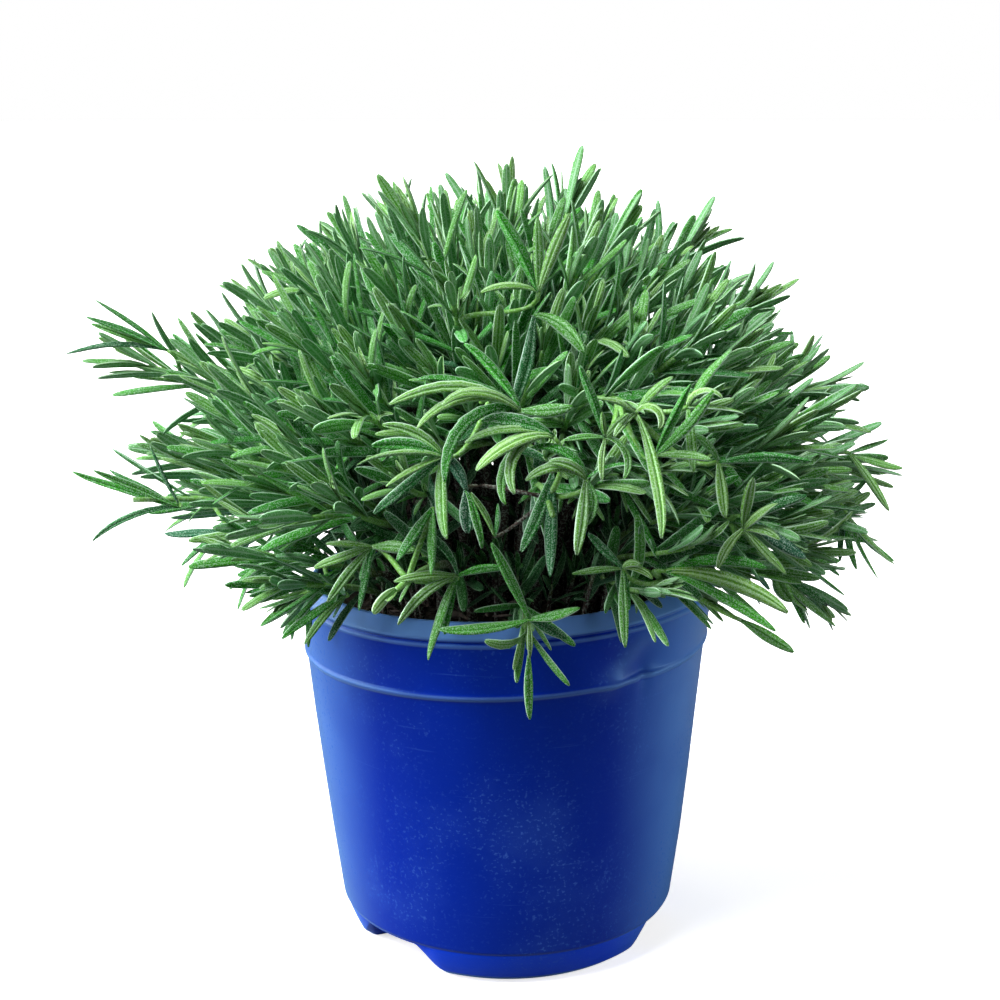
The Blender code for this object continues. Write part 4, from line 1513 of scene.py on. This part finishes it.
    def gather(self, name, *nodes):
        """Joins what was grown into a piece that stands for its nodes of the frame."""
        piece = join_copies(name, self.copies)
        self.copies = []
        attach(piece, ROOT_BODY)
        if nodes:
            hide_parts(*nodes)
        return piece


def clock_direction(clock, lean):
    """A direction as seen from the front, with how far it comes forward, in degrees."""
    turn, forward = np.radians(clock), np.radians(lean)
    return np.stack(
        [
            np.sin(turn) * np.cos(forward),
            -np.sin(forward) * np.ones_like(turn),
            np.cos(turn) * np.cos(forward),
        ],
        axis=-1,
    )


def tuft_spine(node_point, leaf, sway=0.0):
    """The spine of a listed tuft's leaf: it faces forward, and sweeps as it grows."""
    shares = np.array(FRONT_STATIONS)
    clocks = leaf.clock + leaf.sweep * shares**leaf.ease + sway * np.sin(math.tau * shares)
    ways = clock_direction(clocks, np.full_like(shares, leaf.lean))
    face = unit(np.array(TUFT_FACE))
    across = np.cross(np.tile(face, (len(shares), 1)), ways)
    return along_spine(np.array(node_point, float), ways, across, shares, leaf.length)


def tuft_screen():
    """Points on the leaves of the tufts at the front and the sides that other leaves keep out of
    the way of.
    """
    outer = [
        tuft
        for tuft in TUFTS
        if tuft.node[1] < SCREEN_FRONT or abs(tuft.node[0]) > SCREEN_SIDE
    ]
    spines = [tuft_spine(tuft.node, leaf)[0] for tuft in outer for leaf in tuft.leaves]
    return np.concatenate(spines)


def nearest_stem(stems, point):
    """The stem whose upper half passes nearest to a point, and how far from its tip."""
    best = None
    nearest, furthest = STALK_FROM_TIP
    for owner, line in enumerate(stems):
        lowest = min(furthest, line.length - STALK_FROM_FOOT)
        for from_tip in np.arange(nearest, lowest, STALK_STEP):
            gap = np.linalg.norm(line.at(line.length - from_tip) - point)
            cost = gap + STALK_DEPTH_COST * from_tip
            if best is None or cost < best[0]:
                best = (cost, owner, from_tip)
    return best[1], best[2]


def grow_tuft(foliage, tuft, stems, rng):
    """A listed tuft, and the stalk that carries it if it has a clock."""
    point = Vector(tuft.node)
    owner, from_tip = nearest_stem(stems, np.array(point))
    if tuft.clock is not None:
        end_way = Vector(clock_direction(np.float64(tuft.clock), tuft.lean))
        line = branch_line(stems[owner], from_tip, point, end_way, rng)
        foliage.grow_stem(line, HIDDEN_STALK if tuft.lean > HIDDEN_LEAN else STALK)
    for leaf in tuft.leaves:
        roll, twist = rng.uniform(*TUFT_ROLLS), rng.uniform(*TUFT_TWISTS)
        turns = roll + twist * foliage.front_form.shares
        curved = tuft_spine(tuft.node, leaf, sway=rng.uniform(*TUFT_SWAYS))
        spine = turned_spine(curved, turns)
        foliage.lay_leaf(foliage.front_form, spine, leaf.width * TUFT_WIDTH, leaf.youth)


class LAVENDER_OT_make_leafy_stems(bpy.types.Operator):
    """Grow the fine leafy stems, with their side shoots and the listed tufts"""

    bl_idname = "lavender.make_leafy_stems"
    bl_label = "Make Leafy Stems"

    def execute(self, context):
        settings = context.scene.lavender_leaf
        frame_rng = random.Random(SEED)
        sprigs = frame_sprigs(frame_rng)
        stems = [stem_line(sprig, frame_rng) for sprig in sprigs]
        if len(stems) != len(STEM_NODES):
            raise RuntimeError("the frame holds another number of stems than this rule makes")
        rng = random.Random(SEED + 1)
        directions = [sprig_direction(sprig) for sprig in sprigs]
        shoots = side_shoots(stems, directions, settings.side_shoots, rng)
        tufts = [[] for _ in stems]
        for tuft in TUFTS:
            tufts[nearest_stem(stems, np.array(tuft.node, float))[0]].append(tuft)

        def frame_jitter():
            return frame_rng.uniform(*FRAME_SWINGS), frame_rng.uniform(*FRAME_SIZES)

        foliage = Foliage(settings, rng, tuft_screen())
        for owner, line in enumerate(stems):
            youth = rng.uniform(*STEM_YOUTHS)
            vigour = LOW_VIGOUR if sprigs[owner].height < LOW_HEIGHT else 1.0
            foliage.grow_stem(line, MAIN_STEM)
            over_rim = owner == OVER_RIM
            foliage.grow_shoot(line, PAIRS, vigour, youth, frame_jitter, skipped=int(over_rim))
            for pair in LOWER_PAIRS if over_rim else (*BUD_PAIRS, *LOWER_PAIRS):
                foliage.grow_pair(line, pair, rng.uniform(0, math.pi), vigour, youth)
            for shoot in shoots[owner]:
                youth = rng.uniform(*SHOOT_YOUTHS)
                vigour = rng.uniform(*SHOOT_VIGOURS)
                foliage.grow_stem(shoot, SIDE_STEM)
                foliage.grow_shoot(shoot, SHOOT_PAIRS, vigour, youth)
            for tuft in tufts[owner]:
                grow_tuft(foliage, tuft, stems, rng)
            foliage.gather(f"{STEM_NODES[owner]}_fine", STEM_NODES[owner])
        return {"FINISHED"}


class LAVENDER_OT_make_low_sprigs(bpy.types.Operator):
    """Grow the short, dark sprigs near the soil and the taller ones inside the dome"""

    bl_idname = "lavender.make_low_sprigs"
    bl_label = "Make Low Sprigs"

    def execute(self, context):
        settings = context.scene.lavender_leaf
        rng = random.Random(SEED + 2)
        foliage = Foliage(settings, rng, plain=True)
        foliage.dry = dry_material(context.scene.lavender_soil)
        for index in range(settings.low_sprigs):
            radius = LOW_SPRIG_RADIUS * math.sqrt((index + 0.5) / settings.low_sprigs)
            lean = rng.uniform(*LOW_SPRIG_LEANS)
            height = rng.uniform(*LOW_SPRIG_HEIGHTS)
            self.grow_sprig(foliage, index, radius, height, lean, SPRIG_PAIRS)
        foliage.gather("low_sprigs")
        foliage.width *= INNER_WIDTH
        for index in range(settings.core_sprigs):
            share = (index + 0.5) / settings.core_sprigs
            radius = INNER_RADII[0] + (INNER_RADII[1] - INNER_RADII[0]) * share
            height = (1 - share) * INNER_RISE + rng.uniform(*INNER_HEIGHTS)
            self.grow_sprig(foliage, index, radius, height, INNER_LEAN * share, CORE_PAIRS)
        foliage.gather("inner_sprigs")
        return {"FINISHED"}

    @staticmethod
    def grow_sprig(foliage, index, radius, height, lean, pairs):
        """A sprig that rises from the soil, unless it would stand in the front hollow."""
        azimuth = index * GOLDEN_ANGLE
        tip_radius = radius + lean * height
        if math.cos(azimuth) * tip_radius > HOLLOW_REACH and height > TALL_SPRIG:
            return
        start = at_azimuth(azimuth, radius, SOIL_TOP)
        tip = at_azimuth(azimuth, tip_radius, SOIL_TOP + height)
        middle = start.lerp(tip, 0.5) + Vector((0, 0, SPRIG_BOW * height))
        side = at_azimuth(azimuth + math.pi / 2, 1, 0)
        line = Line([start, middle, tip], side, foliage.rng.uniform(0, math.pi / 2))
        foliage.grow_stem(line, SPRIG_STEM)
        kept = [pair for pair in pairs if pair.distance < height - LOWEST_PAIR]
        foliage.grow_shoot(line, kept, 1.0, foliage.rng.uniform(*SPRIG_YOUTHS))
        if height > TALL_SPRIG:
            foliage.hang_dry(line, height / 2)


# ---------------------------------------------------------------- soil

SOIL_RADIUS = 65.4
SOIL_TAPER = 0.855
SOIL_RINGS = 26
FLAT_MARGIN = 0.4
CRUMB_RADIUS = 62
CRUMB_SIZES = (0.5, 1.7)
CRUMB_STRETCHES = ((0.7, 1.3), (0.7, 1.3), (0.5, 0.9))
CRUMB_DENT_DEPTH = 0.5
CRUMB_DENT_COUNT = 1.3
LITTER_RADIUS = 60
LITTER_HEIGHTS = (2.0, 9.0)
LITTER_LENGTHS = (6, 15)
LITTER_WIDTHS = (1.2, 2.6)
LITTER_CURLS = (-2.6, 2.6)
LITTER_CLIMBS = (-0.2, 0.5)
LITTER_THICKNESS = 1.1

# The soil's lumps: how many a metre, the slice of noise that they come from, and their
# share of the height
LUMPS = ((60, 3.1, 0.9), (230, 7.7, 0.7), (640, 1.9, 0.35))


def soil_height(x, y, roughness):
    """The height of the soil over its mean level, in metres."""
    lumps = [
        share * noise.noise(Vector((x * fineness, y * fineness, slice_height)))
        for fineness, slice_height, share in LUMPS
    ]
    return roughness * sum(lumps)


class LAVENDER_OT_make_soil(bpy.types.Operator):
    """Model the crumbly soil in the pot"""

    bl_idname = "lavender.make_soil"
    bl_label = "Make Soil"

    def execute(self, context):
        settings = context.scene.lavender_soil
        clear_selection()
        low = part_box("soil")[0]
        floor = low[2] + 0.3 * MM
        bpy.ops.mesh.primitive_cylinder_add(
            vertices=96, radius=SOIL_RADIUS * MM, depth=SOIL_TOP * MM - floor,
            location=(0, 0, (SOIL_TOP * MM + floor) / 2),
        )
        soil = bpy.context.object
        bpy.ops.object.transform_apply(location=True)
        bpy.ops.object.mode_set(mode="EDIT")
        select_where(lambda place: place.z < floor + MM)
        bpy.ops.transform.resize(
            value=(SOIL_TAPER, SOIL_TAPER, 1), center_override=(0, 0, floor)
        )
        select_where(lambda place: place.z > SOIL_TOP * MM - MM)
        for _ in range(SOIL_RINGS - 1):
            bpy.ops.mesh.inset(thickness=SOIL_RADIUS * MM / SOIL_RINGS, depth=0)
        bpy.ops.object.mode_set(mode="OBJECT")
        for vert in soil.data.vertices:
            radius = math.hypot(vert.co.x, vert.co.y)
            inside = radius < (SOIL_RADIUS - FLAT_MARGIN) * MM
            if vert.co.z > SOIL_TOP * MM - MM and inside:
                vert.co.z += soil_height(vert.co.x, vert.co.y, settings.roughness)
        crumbs = self.crumbs(settings)
        soil = join_copies("soil_fine", [soil, *crumbs])
        soil.data.materials.clear()
        soil.data.materials.append(soil_material(settings))
        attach(soil, ROOT_BODY)
        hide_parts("soil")
        return {"FINISHED"}

    @staticmethod
    def crumbs(settings):
        """Loose crumbs, each a squashed and dented ball."""
        rng = random.Random(SEED + 3)
        clear_selection()
        bpy.ops.mesh.primitive_ico_sphere_add(subdivisions=2, radius=1)
        ball = bpy.context.object
        form = np.empty(len(ball.data.vertices) * 3)
        ball.data.vertices.foreach_get("co", form)
        form = form.reshape(-1, 3)
        copies = []
        for _ in range(settings.crumbs):
            radius = CRUMB_RADIUS * MM * math.sqrt(rng.random())
            azimuth = rng.uniform(0, math.tau)
            x, y = radius * math.sin(azimuth), -radius * math.cos(azimuth)
            size = rng.uniform(*CRUMB_SIZES) * MM
            drift = Vector((rng.uniform(0, 99), 0, 0))
            dents = [
                1 + CRUMB_DENT_DEPTH * noise.noise(Vector(point) * CRUMB_DENT_COUNT + drift)
                for point in form
            ]
            stretch = np.array([rng.uniform(*limits) for limits in CRUMB_STRETCHES])
            base = SOIL_TOP * MM + soil_height(x, y, settings.roughness)
            places = form * np.array(dents)[:, None] * stretch * size + np.array((x, y, base))
            copy = ball.copy()
            copy.data = ball.data.copy()
            copy.data.vertices.foreach_set("co", places.ravel())
            bpy.context.scene.collection.objects.link(copy)
            copies.append(copy)
        bpy.data.objects.remove(ball)
        return copies


class LAVENDER_OT_make_litter(bpy.types.Operator):
    """Scatter dry, curled leaves over the soil"""

    bl_idname = "lavender.make_litter"
    bl_label = "Make Litter"

    def execute(self, context):
        settings = context.scene.lavender_soil
        rng = random.Random(SEED + 4)
        material = dry_material(settings)
        form = small_form()
        shares = form.shares
        copies = []
        for _ in range(settings.litter):
            radius = LITTER_RADIUS * math.sqrt(rng.random())
            azimuth = rng.uniform(0, math.tau)
            height = SOIL_TOP + rng.uniform(*LITTER_HEIGHTS)
            root = np.array(at_azimuth(azimuth, radius, height))
            heading = rng.uniform(0, math.tau)
            turn = heading + rng.uniform(*LITTER_CURLS) * shares
            climb = rng.uniform(*LITTER_CLIMBS) * (1 - shares)
            ways = units(np.stack([np.cos(turn), np.sin(turn), climb], axis=-1))
            across = np.cross(ways, np.array((0.0, 0.0, 1.0)))
            spine = along_spine(root, ways, across, shares, rng.uniform(*LITTER_LENGTHS))
            turns = rng.uniform(*DRY_ROLLS) + rng.uniform(*DRY_TWISTS) * shares
            spine = turned_spine(spine, turns)
            if off_pot(spine[0]):
                width = rng.uniform(*LITTER_WIDTHS)
                leaf = add_leaf(form, spine, width, LITTER_THICKNESS, 0.0, rng, material)
                copies.append(leaf)
        litter = join_copies("dry_leaves", copies)
        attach(litter, ROOT_BODY)
        return {"FINISHED"}


# ---------------------------------------------------------------- the pot

# The pot's section from the axis over the inside, the lip, the wall and the foot, and
# back to the axis: radius, height, and the radius that rounds the corner there
POT_SECTION = (
    (0, 13.3, 0),
    (56.0, 13.3, 0),
    (61.7, 57.0, 0),
    (66.7, 104.4, 1.5),
    (67.7, 106.6, 1.5),
    (68.2, 120.6, 1.5),
    (65.3, 126.6, 1.0),
    (65.2, 129.3, 0.5),
    (66.7, 129.5, 0.5),
    (67.3, 128.6, 0.3),
    (69.6, 125.5, 0.5),
    (70.0, 124.9, 0.3),
    (69.9, 124.0, 0.3),
    (69.0, 123.5, 0.2),
    (69.9, 122.4, 0.4),
    (69.5, 121.4, 0.3),
    (69.4, 118.2, 0),
    (69.3, 115.2, 0),
    (69.25, 112.4, 0),
    (69.2, 109.6, 0),
    (69.2, 106.8, 0.4),
    (69.9, 105.5, 0.5),
    (68.75, 104.1, 0.5),
    (68.1, 98.0, 0),
    (66.5, 83.0, 0),
    (64.0, 60.0, 0),
    (61.35, 36.6, 0),
    (58.3, 13.6, 0.5),
    (57.6, 12.7, 0.3),
    (57.3, 11.6, 0.4),
    (55.6, 7.2, 0),
    (53.6, 3.0, 0.6),
    (49.6, 0.0, 1.2),
    (44.6, 0.0, 0.5),
    (48.2, 5.0, 0),
    (53.2, 11.8, 0.5),
    (0, 11.8, 0),
)
FOOT_TOP = 12.4
FOOT_INSIDE = 44
NOTCH_AZIMUTHS = (-46.0, 74.0, 194.0)
NOTCH_HEIGHT = 11.3
NOTCH_RADIUS = 55.4
NOTCH_FLAT = 10.0
NOTCH_END = 23.0
NOTCH_PULL = 0.9
DRAIN_RADIUS = 3.0
DRAIN_RING_RADIUS = 34.0
DRAIN_COUNT = 6
DRAIN_HEIGHT = 12.5
MIDDLE_RADIUS = 20
OUTSIDE_RADIUS = 68.5
COLLAR_MIDDLE = 112
SMOOTH_ANGLE = math.radians(38)

# The dent is in the collar, with a slanting fold across it and a crease at the bead.
# Azimuths, widths and offsets are in degrees; the heights are those where an effect
# starts and is full, and where it falls off again.
DENT_AZIMUTH = 36.0
DENT_WIDTH = 9.0
DENT_HEIGHTS = ((103, 110), (114, 121))
FOLD_OFFSET = 2
FOLD_WIDTH = 4.2
FOLD_DEPTH = 1.5
FOLD_SLANT = 0.75
FOLD_HEIGHTS = ((102, 106), (117, 121))
CREASE_OFFSET = 3.5
CREASE_WIDTH = 1.8
CREASE_DEPTH = 1.3
CREASE_HEIGHTS = ((102, 104), (107, 110))
OVAL_AZIMUTH = 20
OVAL_DEPTH = 0.35
OVAL_HEIGHTS = (60, 120)
FLARE_AZIMUTH = 88.0
FLARE_WIDTH = 34.0
FLARE_HEIGHTS = (104, 128)
TILT_HEIGHTS = (40, 100)
LEAN_HEIGHTS = (15, 100)


def hump(off, width):
    """1 in the middle, and falling smoothly to 0 over a few widths."""
    return np.exp(-((off / width) ** 2))


def within_heights(height, low, high):
    """1 between two pairs of heights and 0 beyond them."""
    return smooth(*low, height) * (1 - smooth(*high, height))


def shape_pot(mesh, settings):
    """Lifts the notches in the foot, dents and flares the collar, and tilts it."""
    places = np.empty(len(mesh.vertices) * 3)
    mesh.vertices.foreach_get("co", places)
    places = places.reshape(-1, 3) * M
    radius = np.hypot(places[:, 0], places[:, 1])
    azimuth = np.degrees(np.arctan2(places[:, 0], -places[:, 1]))
    height = places[:, 2].copy()

    on_foot = (height < FOOT_TOP) & (radius > FOOT_INSIDE)
    for middle in NOTCH_AZIMUTHS:
        off = np.abs((azimuth - middle + 180) % 360 - 180)
        lift = (1 - smooth(NOTCH_FLAT, NOTCH_END, off)) * on_foot
        height = height + np.maximum(NOTCH_HEIGHT - height, 0) * lift
        radius = radius + (NOTCH_RADIUS - radius) * NOTCH_PULL * lift

    outside = radius > OUTSIDE_RADIUS
    off = azimuth - DENT_AZIMUTH
    dent = hump(off, DENT_WIDTH) * within_heights(height, *DENT_HEIGHTS)
    slanted = off + FOLD_OFFSET - (height - COLLAR_MIDDLE) * FOLD_SLANT
    fold = hump(slanted, FOLD_WIDTH) * within_heights(height, *FOLD_HEIGHTS)
    crease = hump(off - CREASE_OFFSET, CREASE_WIDTH) * within_heights(height, *CREASE_HEIGHTS)
    oval = np.cos(np.radians(2 * (azimuth - OVAL_AZIMUTH))) * smooth(*OVAL_HEIGHTS, height)
    flare = hump(azimuth - FLARE_AZIMUTH, FLARE_WIDTH) * smooth(*FLARE_HEIGHTS, height)
    radius = radius - settings.dent * M * dent + FOLD_DEPTH * fold - CREASE_DEPTH * crease
    radius = radius + OVAL_DEPTH * oval + settings.flare * M * flare
    # The fold, where it stands outside, is kept as the mask of the highlight painted along it
    mesh.attributes.new(FOLD_HIGHLIGHT, "FLOAT", "POINT").data.foreach_set("value", fold * outside)

    outer = radius > MIDDLE_RADIUS
    places[:, 0] = np.where(outer, radius * np.sin(np.radians(azimuth)), places[:, 0])
    places[:, 1] = np.where(outer, -radius * np.cos(np.radians(azimuth)), places[:, 1])
    tilt = settings.tilt * M / LIP_RADIUS
    places[:, 2] = height + tilt * places[:, 0] * smooth(*TILT_HEIGHTS, height)
    places[:, 0] -= settings.lean * M * smooth(*LEAN_HEIGHTS, height)
    mesh.vertices.foreach_set("co", (places * MM).ravel())


class LAVENDER_OT_make_pot(bpy.types.Operator):
    """Turn the pot, cut its drain holes, and shape its foot and collar"""

    bl_idname = "lavender.make_pot"
    bl_label = "Make Pot"

    def execute(self, context):
        settings = context.scene.lavender_pot
        clear_selection()
        first = POT_SECTION[0]
        bpy.ops.mesh.primitive_plane_add(size=MM)
        pot = bpy.context.object
        bpy.ops.object.mode_set(mode="EDIT")
        bpy.ops.mesh.select_all(action="SELECT")
        bpy.ops.mesh.merge(type="CENTER")
        bpy.ops.transform.translate(value=(first[0] * MM, 0, first[1] * MM))
        for before, after in pairwise(POT_SECTION):
            step = ((after[0] - before[0]) * MM, 0, (after[1] - before[1]) * MM)
            bpy.ops.mesh.extrude_region_move(TRANSFORM_OT_translate={"value": step})
        self.round_corners()
        bpy.ops.mesh.select_all(action="SELECT")
        bpy.ops.mesh.spin(
            steps=settings.steps, angle=math.tau, center=(0, 0, 0), axis=(0, 0, 1)
        )
        bpy.ops.mesh.select_all(action="SELECT")
        bpy.ops.mesh.remove_doubles(threshold=0.01 * MM)
        bpy.ops.mesh.normals_make_consistent(inside=False)
        bpy.ops.object.mode_set(mode="OBJECT")
        shape_pot(pot.data, settings)
        self.drill(pot)
        clear_selection()
        pot.select_set(True)
        bpy.context.view_layer.objects.active = pot
        bpy.ops.object.shade_smooth_by_angle(angle=SMOOTH_ANGLE)
        pot.name = pot.data.name = "pot_fine"
        pot.data.materials.clear()
        pot.data.materials.append(plastic_material(settings))
        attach(pot, ROOT_BODY)
        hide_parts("pot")
        return {"FINISHED"}

    @staticmethod
    def round_corners():
        """Bevels each corner of the section by its own radius."""
        for rounding in sorted({corner[2] for corner in POT_SECTION if corner[2]}):
            corners = [
                Vector((radius * MM, 0, height * MM))
                for radius, height, own in POT_SECTION
                if own == rounding
            ]
            select_where(lambda place: min((place - c).length for c in corners) < 0.01 * MM)
            bpy.ops.mesh.bevel(offset=rounding * MM, affect="VERTICES", segments=3)

    @staticmethod
    def drill(pot):
        """Cuts the drain holes through the floor."""
        clear_selection()
        places = [Vector((0, 0, DRAIN_HEIGHT))]
        for index in range(DRAIN_COUNT):
            azimuth = math.tau * index / DRAIN_COUNT
            places.append(at_azimuth(azimuth, DRAIN_RING_RADIUS, DRAIN_HEIGHT))
        cutters = []
        for place in places:
            bpy.ops.mesh.primitive_cylinder_add(
                vertices=24, radius=DRAIN_RADIUS * MM, depth=8 * MM, location=place * MM
            )
            cutters.append(bpy.context.object)
        drill = join_copies("drill", cutters)
        clear_selection()
        bpy.context.view_layer.objects.active = pot
        pot.select_set(True)
        cut = pot.modifiers.new("Drill", "BOOLEAN")
        cut.operation = "DIFFERENCE"
        cut.solver = "EXACT"
        cut.object = drill
        bpy.ops.object.modifier_apply(modifier=cut.name)
        bpy.data.objects.remove(drill)


# ---------------------------------------------------------------- the stage

FLOOR_RADIUS = 40.0
# Each broad sun: the setting of its strength, where it shines from, and how broad it
# is in degrees
SUNS = (
    ("top", (-0.52, -0.38, 1.0), 32),
    ("left", (-0.96, -0.1, 0.25), 40),
    ("right", (0.97, 0.0, 0.06), 30),
    ("rim", (-0.85, 0.55, 0.3), 40),
)
LOW_LIGHT_PLACE = (0.3, -0.12, 0.12)
LOW_LIGHT_AIM = (0.05, 0.0, 0.03)
LOW_LIGHT_SIZE = 0.16
LOW_LIGHT_SPREAD = math.radians(60)


def add_light(kind, name, energy, place, aim=(0.0, 0.0, 0.0)):
    """A light at a place, in metres, that shines towards its aim."""
    bpy.ops.object.light_add(type=kind, location=place)
    lamp = bpy.context.object
    lamp.name = name
    lamp.data.energy = energy
    lamp.rotation_euler = (Vector(aim) - Vector(place)).to_track_quat("-Z", "Y").to_euler()
    return lamp.data


def add_lights(settings):
    """The broad suns, and a small soft light beside the pot that keeps below the leaves."""
    for strength, place, angle in SUNS:
        sun = add_light("SUN", f"{strength} light", getattr(settings, strength), place)
        sun.angle = math.radians(angle)
    lamp = add_light("AREA", "low light", settings.low, LOW_LIGHT_PLACE, LOW_LIGHT_AIM)
    lamp.size = LOW_LIGHT_SIZE
    lamp.spread = LOW_LIGHT_SPREAD


class LAVENDER_OT_make_stage(bpy.types.Operator):
    """Set up the pale floor, the soft light and the camera"""

    bl_idname = "lavender.make_stage"
    bl_label = "Make Stage"

    def execute(self, context):
        settings = context.scene.lavender_stage
        clear_selection()
        bpy.ops.mesh.primitive_circle_add(vertices=64, radius=FLOOR_RADIUS, fill_type="NGON")
        floor = bpy.context.object
        floor.name = floor.data.name = "floor"
        floor.data.materials.append(floor_material(settings))

        context.scene.world = even_light(settings.sky)
        add_lights(settings)

        place = (settings.sideways, -settings.distance, settings.height)
        bpy.ops.object.camera_add(
            location=place, rotation=(math.pi / 2 - settings.pitch, 0, 0)
        )
        camera = bpy.context.object
        camera.name = "camera"
        camera.data.lens = settings.lens
        context.scene.camera = camera
        context.scene.view_settings.view_transform = "Standard"
        return {"FINISHED"}


# ---------------------------------------------------------------- panel and registration

OPERATORS = (
    LAVENDER_OT_make_stage,
    LAVENDER_OT_make_pot,
    LAVENDER_OT_make_soil,
    LAVENDER_OT_make_litter,
    LAVENDER_OT_make_low_sprigs,
    LAVENDER_OT_make_leafy_stems,
)
SETTINGS = {
    "lavender_pot": PotSettings,
    "lavender_soil": SoilSettings,
    "lavender_leaf": LeafSettings,
    "lavender_stage": StageSettings,
}


class LAVENDER_PT_panel(bpy.types.Panel):
    """Lists the settings and the operators that build the lavender"""

    bl_label = "Potted Lavender"
    bl_space_type = "VIEW_3D"
    bl_region_type = "UI"
    bl_category = "Lavender"

    def draw(self, context):
        for attribute, group in SETTINGS.items():
            box = self.layout.box()
            box.label(text=group.__doc__)
            for name in group.__annotations__:
                box.prop(getattr(context.scene, attribute), name)
        for operator in OPERATORS:
            self.layout.operator(operator.bl_idname)


def register():
    for group in SETTINGS.values():
        bpy.utils.register_class(group)
    for attribute, group in SETTINGS.items():
        setattr(bpy.types.Scene, attribute, PointerProperty(type=group))
    for operator in OPERATORS:
        bpy.utils.register_class(operator)
    bpy.utils.register_class(LAVENDER_PT_panel)


def unregister():
    bpy.utils.unregister_class(LAVENDER_PT_panel)
    for operator in reversed(OPERATORS):
        bpy.utils.unregister_class(operator)
    for attribute in SETTINGS:
        delattr(bpy.types.Scene, attribute)
    for group in SETTINGS.values():
        bpy.utils.unregister_class(group)


def main():
    """Builds every piece in order."""
    register()
    bpy.ops.lavender.make_stage()
    bpy.ops.lavender.make_pot()
    bpy.ops.lavender.make_soil()
    bpy.ops.lavender.make_litter()
    bpy.ops.lavender.make_low_sprigs()
    bpy.ops.lavender.make_leafy_stems()
    clear_selection()


if __name__ == "__main__":
    main()
